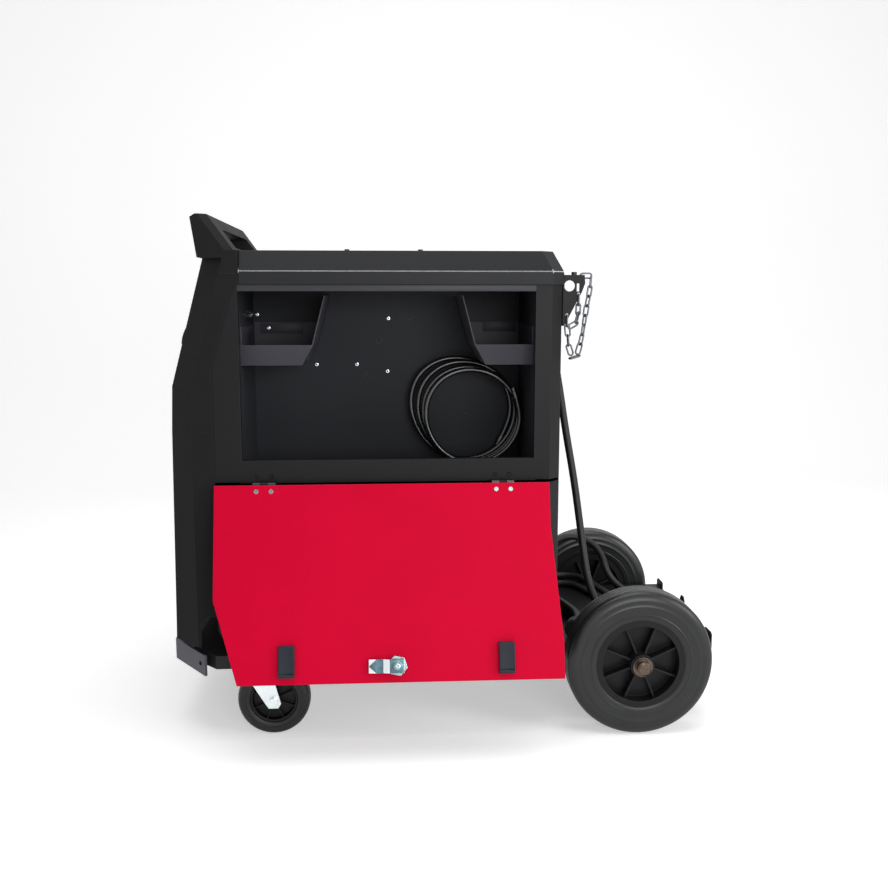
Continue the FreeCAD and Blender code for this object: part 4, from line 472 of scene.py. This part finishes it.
ferrule_steel = bare_metal("blackened_ferrule_steel", "#55575A", 0.3, 6)
for fitting in hose_fittings:
    dress(fitting, ferrule_steel, "machine")
finish_node("axle", bare_metal("drawn_axle_steel", "#8C8F94", 0.35, 12, 0.8))
finish_node("axle_caps", bare_metal("phosphated_cap_steel", "#5C5148", 0.26, 5, None, 0.45))

# ---- Swivel casters: zinc-plated pressed forks and top plates. The 125 mm wheels have a black rubber tread
# with rings moulded into its sides, on a dished plastic core with eight thin ribs each side.

bright_zinc = bare_metal("bright_zinc_plate", "#DFE7E8", 0.3, 9, None, 0.1)
for name in ("near_caster_fork", "far_caster_fork", "caster_plates"):
    finish_node(name, bright_zinc)
caster_rubber = black_rubber("moulded_caster_rubber", "#1E1E20", 0.42, 1.6, 0.2, 0.3)
# The core and its ribs get a strong painted highlight along their edges.
core_plastic = moulded_plastic("moulded_caster_core", "#0E0E10", 0.4, 1.0, 0.05, 6.0, 0.2)
tread_profile = [
    (0.0405, 0.0120), (0.0415, 0.0150), (0.0440, 0.0163), (0.0478, 0.0168), (0.0483, 0.0175),
    (0.0496, 0.0175), (0.0502, 0.0169), (0.0535, 0.0170), (0.0541, 0.0176), (0.0553, 0.0175),
    (0.0572, 0.0166), (0.0592, 0.0150), (0.0607, 0.0126), (0.0618, 0.0090), (0.0624, 0.0045),
    (0.0625, 0.0010)]
tread_profile += [(radius, -across) for radius, across in reversed(tread_profile)]
core_profile = [(0.0085, 0.0165), (0.0130, 0.0165), (0.0138, 0.0045), (0.0350, 0.0035), (0.0372, 0.0130),
                (0.0404, 0.0135)]
core_profile += [(radius, -across) for radius, across in reversed(core_profile)]


def bevelled_block(name, low, high, bevel_mm, steps=2):
    """A block between two corners, in place, with all its edges rounded."""
    bpy.ops.object.select_all(action="DESELECT")
    bpy.ops.mesh.primitive_cube_add(size=1, location=(0, 0, 0))
    block = bpy.context.object
    block.name = name
    bpy.ops.object.mode_set(mode="EDIT")
    bpy.ops.mesh.select_all(action="SELECT")
    bpy.ops.transform.resize(value=[b - a for a, b in zip(low, high)])
    bpy.ops.mesh.bevel(offset=bevel_mm / 1000, segments=steps, affect="EDGES")
    bpy.ops.object.mode_set(mode="OBJECT")
    block.data.transform(Matrix.Translation([(a + b) / 2 for a, b in zip(low, high)]))
    bpy.ops.object.shade_smooth_by_angle(angle=math.radians(35))
    return block


def copied(pattern, name, move):
    """A copy of a finished pattern with a mesh of its own, moved in its mesh."""
    copy = pattern.copy()
    copy.data = pattern.data.copy()
    copy.name = name
    scene.collection.objects.link(copy)
    copy.data.transform(move)
    return copy


def joined(pieces):
    """Several meshes made into one, kept under the first one's name."""
    bpy.ops.object.select_all(action="DESELECT")
    for piece in pieces:
        piece.select_set(True)
    bpy.context.view_layer.objects.active = pieces[0]
    bpy.ops.object.join()
    return pieces[0]


for side in ("near", "far"):
    centre = middle_of(side + "_caster_wheel")
    tread = spun_ring(side + "_caster_tread", tread_profile, centre, 96)
    dress(tread, caster_rubber, side + "_roller")
    core = spun_ring(side + "_caster_core", core_profile, centre, 64)
    rib = bevelled_block("rib", (0.0125, 0.002, -0.0008), (0.0368, 0.0122, 0.0008), 0.4, 1)
    ribs = [copied(rib, "rib_copy", Matrix.Translation(centre)
                   @ Matrix.Rotation(math.radians(45 * number + 20), 4, "Y")
                   @ Matrix.Rotation(turned, 4, "X"))
            for number in range(8) for turned in (0, math.pi)]
    bpy.data.objects.remove(rib)
    core = joined([core] + ribs)
    dress(core, core_plastic, side + "_roller")
    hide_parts(side + "_caster_wheel")

# ---- Base pan, bumper and cylinder platform: folded 2 to 3 mm steel. The black parts carry a satin powder
# coat with a fine orange peel; the bumper is the same coat in dark grey.


def powder_coat(name, colour, roughness, peel_mm, relief, edge=1.6, lift=0.03, shine=0.2, crease=None):
    """Baked powder paint on steel: faint orange peel, slow drift of tone, a paler line along folds and cut
    edges as a painted highlight. Along a crease, given as its height, that painted highlight is much
    stronger, and the other edges then stay plain."""
    material, tree, output = new_material(name)
    place = add_node(tree, "TexCoord")
    painted_edge_highlight, round_normal = edge_shine(tree, 2.0, 0.982) if crease else edge_shine(tree, 0.9)
    if crease:
        height = add_node(tree, "SeparateXYZ", links={"Vector": place.outputs["Object"]})
        near = add_node(tree, "Math", {1: crease, 2: 0.003}, {0: height.outputs["Z"]}, operation="COMPARE")
        crease_highlight = add_node(tree, "Math", links={0: near.outputs[0], 1: painted_edge_highlight}, operation="MULTIPLY")
        painted_edge_highlight = crease_highlight.outputs[0]
    cloud = add_node(tree, "TexNoise", {"Scale": 1000 / 140, "Detail": 4, "Roughness": 0.55},
                     {"Vector": place.outputs["Object"]})
    base = linear(colour)
    patch = add_node(tree, "Mix", {6: toned(base, 0.9), 7: toned(base, 1.1)},
                     {0: cloud.outputs["Fac"]}, data_type="RGBA")
    # The paler colour along edges and the crease is a painted highlight.
    tint = add_node(tree, "Mix", {7: toned(base, edge, lift)},
                    {0: painted_edge_highlight, 6: patch.outputs[2]}, data_type="RGBA")
    gloss = add_node(tree, "MapRange", {"To Min": roughness - 0.05, "To Max": roughness + 0.05},
                     {"Value": cloud.outputs["Fac"]})
    peel = add_node(tree, "TexNoise", {"Scale": 1000 / peel_mm, "Detail": 2, "Roughness": 0.4},
                    {"Vector": place.outputs["Object"]})
    bump = add_node(tree, "Bump", {"Strength": relief, "Distance": 0.0004},
                    {"Height": peel.outputs["Fac"], "Normal": round_normal})
    surface = add_node(tree, "BsdfPrincipled", {"IOR": 1.5, "Specular IOR Level": shine},
                       {"Base Color": tint.outputs[2], "Roughness": gloss.outputs[0],
                        "Normal": bump.outputs["Normal"]})
    tree.links.new(surface.outputs[0], output.inputs["Surface"])
    return material


black_coat = powder_coat("satin_black_powder_coat", "#151517", 0.42, 2.2, 0.12, shine=0.16)
finish_node("base_pan", powder_coat("scuffed_black_powder_coat", "#222023", 0.45, 2.2, 0.12))
finish_node("cylinder_platform", black_coat)
finish_node("front_bumper", powder_coat("dark_grey_powder_coat", "#4B4B53", 0.45, 2.2, 0.12))


def screw_head(radius, height, socket):
    """A round screw head that stands on the origin and faces up, its rim rounded, with a round socket."""
    bpy.ops.object.select_all(action="DESELECT")
    bpy.ops.mesh.primitive_cylinder_add(vertices=24, radius=radius, depth=height, location=(0, 0, 0))
    head = bpy.context.object
    bpy.ops.object.mode_set(mode="EDIT")
    pick(head, lambda face: face.normal.z > 0.9)
    bpy.ops.mesh.bevel(offset=height * 0.45, segments=3, affect="EDGES")
    pick(head, lambda face: face.normal.z > 0.999)
    bpy.ops.mesh.inset(thickness=radius - height * 0.45 - socket)
    bpy.ops.mesh.extrude_region_move(TRANSFORM_OT_translate={"value": (0, 0, -height * 0.6)})
    bpy.ops.object.mode_set(mode="OBJECT")
    head.data.transform(Matrix.Translation((0, 0, height / 2)))
    bpy.ops.object.shade_smooth_by_angle(angle=math.radians(35))
    return head


def facing(place, way):
    """Stands a piece that faces up at a place of the case, facing a given way."""
    return (Matrix.Translation(Vector(place) + case_shift)
            @ Vector(way).to_track_quat("Z", "Y").to_matrix().to_4x4())


black_bolt = bare_metal("black_oxide_bolt_steel", "#1A1A1C", 0.42, 6)
bolt = screw_head(0.0034, 0.0018, 0.0014)
for number, side in enumerate((-1, 1)):
    place = facing((-0.7509, side * 0.2144, 0.135), (-0.81, side * 0.587, 0))
    dress(copied(bolt, f"bumper_bolt_{number}", place), black_bolt, "machine")
bpy.data.objects.remove(bolt)

# ---- Case: folded sheet-steel side frames, lower panels and rear panel in the black coat, divider and liners
# in a lighter one, its paler colour a painted sheen, and a lid in a slightly greyer one with a sharp crease
# all round, along which a bright line is a painted highlight. Strips on the bay's top rails are painted grey
# as a highlight.

for name in ("tool_side_frame", "wire_side_frame", "tool_side_panel", "wire_side_panel", "rear_panel",
             "hinge_frame_leaves", "cylinder_bracket"):
    finish_node(name, black_coat)
CREASE_HEIGHT = 0.791
# The bright line along the lid's crease is a painted highlight.
finish_node("lid", powder_coat("charcoal_powder_coat", "#1B1C1E", 0.45, 2.2, 0.12, 4.0, 0.7, 0.2,
                               CREASE_HEIGHT))
# The divider and liners carry the black coat painted lighter, with little shine of their own: a painted
# sheen.
bay_coat_with_painted_sheen = powder_coat("black_powder_coat_with_painted_sheen", "#313236", 0.44, 2.2, 0.08, 2.5, 0.05, 0.08)
finish_node("centre_divider", bay_coat_with_painted_sheen)
finish_node("bay_liners", bay_coat_with_painted_sheen)
# Thin strips on the top rails carry the coat painted grey, a painted highlight where the rails catch the top
# light.
rail_coat_painted_light = powder_coat("grey_coat_painted_highlight", "#3C3C41", 0.4, 2.2, 0.1)
SIDE_FACE = 0.2249
RAIL_FACE = 0.2259
for name, low_y, high_y in (("tool_bay_top_rail", -RAIL_FACE, -SIDE_FACE),
                            ("wire_bay_top_rail", SIDE_FACE, RAIL_FACE)):
    low = Vector((-0.669, low_y, 0.7592)) + case_shift
    high = Vector((-0.187, high_y, 0.7692)) + case_shift
    dress(bevelled_block(name, low, high, 0.4), rail_coat_painted_light, "machine")
BOLT_HEIGHT = 0.458
bolt = screw_head(0.0042, 0.0003, 0.002)
for number, x in enumerate((-0.645, -0.621, -0.252, -0.228)):
    for side, name in ((-1, "tool"), (1, "wire")):
        place = facing((x, side * SIDE_FACE, BOLT_HEIGHT), (0, side, 0))
        dress(copied(bolt, f"{name}_side_frame_bolt_{number}", place), black_bolt, "machine")
bpy.data.objects.remove(bolt)
pan_steel = bare_metal("zinc_plated_screw_steel", "#C9CFD2", 0.24, 3, None, 0.3)
screw = screw_head(0.0038, 0.0022, 0.0015)
for number, (x, z) in enumerate(((-0.559, 0.6265), (-0.485, 0.6265), (-0.4286, 0.6135), (-0.4263, 0.7108))):
    dress(copied(screw, f"divider_screw_{number}", facing((x, -0.003, z), (0, -1, 0))),
          pan_steel, "machine")
bpy.data.objects.remove(screw)

# ---- Trays: two black-grey moulded trays that hang in the top corners of the tool bay. Each has a flat
# pressing on its back wall, and the front one has two screws.

# The trays' edges get a strong painted highlight.
tray_plastic = moulded_plastic("moulded_tray_plastic", "#3E3D44", 0.45, 1.2, 0.06, 3.0)
finish_node("front_tray", tray_plastic)
finish_node("rear_tray", tray_plastic)
PRESSING_BACK, PRESSING_FACE, PRESSING_HIGH = -0.0050, -0.0066, 0.019
for name, front, rear, low in (("front_tray_pressing", -0.660, -0.583, 0.684),
                               ("rear_tray_pressing", -0.252, -0.190, 0.687)):
    pressing = bevelled_block(name, Vector((front, PRESSING_FACE, low)) + case_shift,
                              Vector((rear, PRESSING_BACK, low + PRESSING_HIGH)) + case_shift, 0.7)
    dress(pressing, tray_plastic, "machine")
screw = screw_head(0.0038, 0.0016, 0.0015)
for number, place in enumerate(((-0.6655, -0.0053, 0.718), (-0.645, -0.0066, 0.6935))):
    dress(copied(screw, f"front_tray_screw_{number}", facing(place, (0, -1, 0))),
          pan_steel, "machine")
bpy.data.objects.remove(screw)

# ---- Front mouldings: lower and upper bezels and the handle, black ABS with a fine leather-like grain, and a
# glossy strip at each end of the handle.

front_plastic = moulded_plastic("grained_black_abs", "#232324", 0.55, 0.9, 0.1, 2.2, 0.03)
for name in ("lower_bezel", "upper_bezel", "handle"):
    finish_node(name, front_plastic)
# Its edges are painted paler as a highlight.
gloss_plastic = moulded_plastic("polished_black_abs", "#0C0C0E", 0.12, 1.0, 0.0, 4.0, 0.6)
for name, side in (("near_handle_trim", 1), ("far_handle_trim", -1)):
    corners = [Vector((x, y * side, z)) + case_shift for x, y, z in (
        (-0.6895, -0.2245, 0.8275), (-0.6785, -0.2075, 0.8275),
        (-0.7165, -0.2095, 0.8775), (-0.7255, -0.2245, 0.8775))]
    outward = Vector((0.73, -0.438 * side, 0.525)).normalized()
    bpy.ops.object.select_all(action="DESELECT")
    bpy.ops.mesh.primitive_plane_add(size=1, location=(0, 0, 0))
    strip = bpy.context.object
    strip.name = name
    loop = [strip.data.loops[index].vertex_index for index in strip.data.polygons[0].loop_indices]
    for index, corner in zip(loop, corners):
        strip.data.vertices[index].co = corner - outward * 0.0005
    bpy.ops.object.mode_set(mode="EDIT")
    bpy.ops.mesh.select_all(action="SELECT")
    bpy.ops.mesh.extrude_region_move(TRANSFORM_OT_translate={"value": outward * 0.0012})
    bpy.ops.mesh.bevel(offset=0.0004, segments=2, affect="EDGES")
    bpy.ops.mesh.select_all(action="SELECT")
    bpy.ops.mesh.normals_make_consistent(inside=False)
    bpy.ops.object.mode_set(mode="OBJECT")
    bpy.ops.object.shade_smooth_by_angle(angle=math.radians(35))
    dress(strip, gloss_plastic, "machine")

# ---- Control panel: a dark grey coated plate with two knobs, a rocker switch and a display. Lower down are
# the brass gun socket and the plastic lead sockets.

finish_node("control_panel", powder_coat("panel_grey_powder_coat", "#2C2E32", 0.4, 1.5, 0.08))
knob_plastic = moulded_plastic("moulded_knob_plastic", "#17171A", 0.38, 0.8, 0.04, 1.8)
for name in ("voltage_knob", "wire_speed_knob", "power_switch"):
    finish_node(name, knob_plastic)
socket_brass = bare_metal("turned_socket_brass", "#B79A5B", 0.3, 10, 0.6)
finish_node("gun_socket", socket_brass)
finish_node("output_sockets", moulded_plastic("moulded_socket_plastic", "#161617", 0.4, 1.0, 0.05, 1.8))


PANEL_FOOT_X, PANEL_FOOT_Z, PANEL_LEAN = -0.779, 0.603, 0.27169
KNOB_HEIGHT = 0.675
KNOB_TURN = 135
DISPLAY_PLACE = (0.070, 0.727)


def on_panel(y, z, forward=0.0):
    """Stands a piece that faces up on the leaning panel, its top side towards the panel's top."""
    face_x = PANEL_FOOT_X + (z - PANEL_FOOT_Z) * PANEL_LEAN
    across, up, out = Vector((0, -1, 0)), Vector((0.262189, 0, 0.965016)), Vector((-0.965016, 0, 0.262189))
    turned = Matrix((across, up, out)).transposed().to_4x4()
    return Matrix.Translation(Vector((face_x, y, z)) + case_shift + out * forward) @ turned


scale_print = moulded_plastic("white_scale_print", "#C8C8C6", 0.5, 1.0, 0.0, 1.0)
tick = bevelled_block("tick", (-0.0006, 0.0275, -0.0002), (0.0006, 0.0315, 0.0003), 0.1, 1)
for name, y in (("voltage_scale_marks", -0.080), ("wire_speed_scale_marks", 0.0)):
    marks = [copied(tick, name, on_panel(y, KNOB_HEIGHT)
                    @ Matrix.Rotation(math.radians(27 * step - KNOB_TURN), 4, "Z")) for step in range(11)]
    dress(joined(marks), scale_print, "machine")
bpy.data.objects.remove(tick)
for name, middle, wide, high in (("display_window_frame", DISPLAY_PLACE, 0.050, 0.0225),
                                 ("power_switch_frame", (0.088, 0.657), 0.0125, 0.0185)):
    bpy.ops.object.select_all(action="DESELECT")
    bpy.ops.mesh.primitive_plane_add(size=2, location=(0, 0, 0))
    frame_ring = bpy.context.object
    frame_ring.name = name
    bpy.ops.object.mode_set(mode="EDIT")
    bpy.ops.mesh.select_all(action="SELECT")
    bpy.ops.transform.resize(value=(wide, high, 1))
    bpy.ops.mesh.inset(thickness=0.0028)
    bpy.ops.mesh.delete(type="ONLY_FACE")
    bpy.ops.mesh.select_all(action="SELECT")
    bpy.ops.mesh.extrude_region_move(TRANSFORM_OT_translate={"value": (0, 0, 0.0016)})
    bpy.ops.mesh.select_all(action="SELECT")
    bpy.ops.mesh.normals_make_consistent(inside=False)
    bpy.ops.mesh.bevel(offset=0.0004, segments=2, affect="EDGES")
    bpy.ops.object.mode_set(mode="OBJECT")
    frame_ring.data.transform(on_panel(*middle, -0.0002))
    bpy.ops.object.shade_smooth_by_angle(angle=math.radians(35))
    dress(frame_ring, knob_plastic, "machine")
display_glass = moulded_plastic("smoked_display_glass", "#07080A", 0.08, 2.0, 0.0, 1.2, 0.6)
glass = bevelled_block("display_window", (-0.0455, -0.0175, -0.001), (0.0455, 0.0175, 0.0004), 0.3)
glass.data.transform(on_panel(*DISPLAY_PLACE))
dress(glass, display_glass, "machine")

# ---- Doors: 2 mm steel in a bright red coat, on black hinges held by zinc-plated screws, with a zinc
# quarter-turn latch. The tool door hangs open and carries two slate-grey rubber buffers with a groove near
# the end.

red_coat = powder_coat("bright_red_powder_coat", "#CC0430", 0.5, 2.6, 0.06, 1.1, 0.03, 0.04)
finish_node("tool_door", red_coat)
finish_node("wire_door", red_coat)
# These fittings and the latch are painted much paler along their edges as a highlight.
for name, finish, plane in (
        ("tool_door_fittings", "zinc_latch_nut_and_black_hinges", ((0, -0.9737, 0.2298), 0.30748)),
        ("wire_door_fittings", "zinc_latch_head_and_black_hinges", ((0, -1, 0.03), -0.2443))):
    finish_node(name, bare_metal(finish, "#7C8C8C", 0.24, 5, None, 0.5, 0.4, [plane]))
latch_zinc = bare_metal("blue_zinc_latch_steel", "#566E77", 0.24, 4, None, 0.6, 0.4)
finish_node("wire_latch_cam", latch_zinc)
HINGE_OUT, HINGE_HEIGHT, DOOR_OPEN = -0.234, 0.446, 165
open_door = (Matrix.Translation((0.3305, 0.0310775 + HINGE_OUT, HINGE_HEIGHT))
             @ Matrix.Rotation(math.radians(DOOR_OPEN), 4, "X"))
LATCH_X, LATCH_Z, CAM_FACE, CAM_TIP = -0.418, 0.295, 0.0198, -0.464
CAM_HALF_WIDTH = 0.011
cam_outline = [(-0.407, 0.0173), (-0.407, CAM_FACE), (-0.431, CAM_FACE), (-0.440, 0.0153), (CAM_TIP, 0.0153),
               (CAM_TIP, 0.0128), (-0.439, 0.0128), (-0.430, 0.0173)]
bpy.ops.object.select_all(action="DESELECT")
bpy.ops.mesh.primitive_circle_add(vertices=len(cam_outline), radius=0.01, fill_type="NGON")
cam = bpy.context.object
cam.name = "stepped_latch_cam"
for corner, (x, y) in zip(cam.data.vertices, cam_outline):
    corner.co = (x, y, LATCH_Z - CAM_HALF_WIDTH)
bpy.ops.object.mode_set(mode="EDIT")
bpy.ops.mesh.select_all(action="SELECT")
bpy.ops.mesh.extrude_region_move(TRANSFORM_OT_translate={"value": (0, 0, 2 * CAM_HALF_WIDTH)})
for lean in (-0.012, 0.012):
    bpy.ops.mesh.select_all(action="SELECT")
    bpy.ops.mesh.bisect(plane_co=(CAM_TIP, 0, LATCH_Z), plane_no=(0.011, 0, lean))
bpy.ops.object.mode_set(mode="OBJECT")
for corner in cam.data.vertices:
    at_tip = corner.co.x < CAM_TIP + 0.0001 and corner.co.y > 0.015
    if at_tip and abs(corner.co.z - LATCH_Z) > CAM_HALF_WIDTH - 0.0005:
        corner.co.y -= 0.001
bpy.ops.object.mode_set(mode="EDIT")
bpy.ops.mesh.select_all(action="SELECT")
bpy.ops.mesh.normals_make_consistent(inside=False)
bpy.ops.mesh.select_all(action="DESELECT")
bpy.ops.mesh.edges_select_sharp(sharpness=math.radians(40))
bpy.ops.mesh.bevel(offset=0.0005, segments=2, affect="EDGES")
bpy.ops.object.mode_set(mode="OBJECT")
bpy.ops.object.shade_smooth_by_angle(angle=math.radians(20))
cam.data.transform(open_door)
dress(cam, latch_zinc, "tool_latch")
# The cam tip's leaning facets take the bright zinc: a painted highlight.
cam.data.materials.append(bright_zinc)
for face in cam.data.polygons:
    tilted = open_door.inverted().to_3x3() @ face.normal
    if tilted.y > 0.5 and abs(tilted.x) > 0.03:
        face.material_index = 1
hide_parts("latch_cam")
hub_place = Matrix.Translation((LATCH_X, CAM_FACE, LATCH_Z)) @ Matrix.Rotation(math.radians(-90), 4, "X")
washer = screw_head(0.0085, 0.0008, 0.0062)
washer.data.transform(open_door @ hub_place)
washer.name = "latch_cam_washer"
dress(washer, latch_zinc, "tool_latch")
cam_screw = screw_head(0.0058, 0.0024, 0.0026)
cam_screw.data.transform(open_door @ hub_place)
cam_screw.name = "latch_cam_screw"
dull_zinc = bare_metal("dull_zinc_screw_steel", "#8FA1A6", 0.22, 3, None, 0.5)
dress(cam_screw, dull_zinc, "tool_latch")
# The buffers' edges get a strong painted highlight.
buffer_rubber = moulded_plastic("slate_buffer_rubber", "#22262F", 0.5, 1.5, 0.15, 7.0, 0.2)
GROOVE_LOW, GROOVE_HIGH = 0.3035, 0.3050
for name, x in (("front_buffer", -0.595), ("rear_buffer", -0.241)):
    buffer = bevelled_block(name, (x - 0.013, 0.008, 0.260), (x + 0.013, 0.017, 0.311), 1.6, 3)
    bpy.ops.object.mode_set(mode="EDIT")
    for z in (GROOVE_LOW, GROOVE_HIGH):
        bpy.ops.mesh.select_all(action="SELECT")
        bpy.ops.mesh.bisect(plane_co=(0, 0, z), plane_no=(0, 0, 1))
    pick(buffer, lambda face: face.normal.y > 0.99 and GROOVE_LOW < face.calc_center_median().z < GROOVE_HIGH)
    bpy.ops.mesh.extrude_region_move(TRANSFORM_OT_translate={"value": (0, -0.0012, 0)})
    pick(buffer, lambda face: face.normal.y > 0.99 and face.calc_center_median().z < GROOVE_LOW)
    bpy.ops.mesh.inset(thickness=0.002, depth=-0.0005)
    bpy.ops.object.mode_set(mode="OBJECT")
    buffer.data.transform(open_door)
    dress(buffer, buffer_rubber, "tool_door")
    if name == "front_buffer":
        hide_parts("door_bumpers")

# ---- Fasteners and chain: blackened case screws, and the dull zinc chain that holds the gas cylinder to the
# bracket.

finish_node("case_screws", bare_metal("blackened_screw_steel", "#3A3A3D", 0.4, 6))
finish_node("chain", bare_metal("dull_zinc_chain", "#62656A", 0.3, 4, None, 0.4))

# ---- Wire side: spool of copper-coated wire, its flanges and core black, on a steel spindle, and a cast
# drive with a turned roll and arm.

spool_low, spool_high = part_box("wire_spool")
spool_middle = middle_of("wire_spool")
finish_node("wire_spool", bare_metal("copper_wire_on_black_spool", "#B87850", 0.35, 8, 0.9, black_planes=[
    ((0, 1, 0), spool_low[1] + 0.0031), ((0, -1, 0), 0.0031 - spool_high[1])],
    black_core=((spool_middle.x, 0, spool_middle.z), 0.1062)))
turned_steel = bare_metal("turned_steel", "#94979B", 0.32, 10, 0.7)
for name in ("spool_spindle", "drive_roll", "pressure_arm"):
    finish_node(name, turned_steel)
finish_node("wire_drive", bare_metal("sand_cast_aluminium", "#A3A6AA", 0.5, 5, None, 0.1))

# ---- Power parts inside the case: varnished transformer, finned heat sink and green board, a black fan with
# its guard, and a brass gas valve.

finish_node("transformer", moulded_plastic("varnished_core_steel", "#4A3B30", 0.35, 1.0, 0.1))
finish_node("heat_sink", bare_metal("extruded_aluminium", "#B9BCC0", 0.35, 15, 0.8))
finish_node("control_board", moulded_plastic("green_board_lacquer", "#1D5A38", 0.3, 1.5, 0.05))
fan_plastic = moulded_plastic("moulded_fan_plastic", "#19191B", 0.42, 1.0, 0.06)
finish_node("fan_grille", fan_plastic)
finish_node("fan_blades", fan_plastic)
finish_node("gas_valve", bare_metal("machined_valve_brass", "#B59458", 0.32, 9, 0.8))
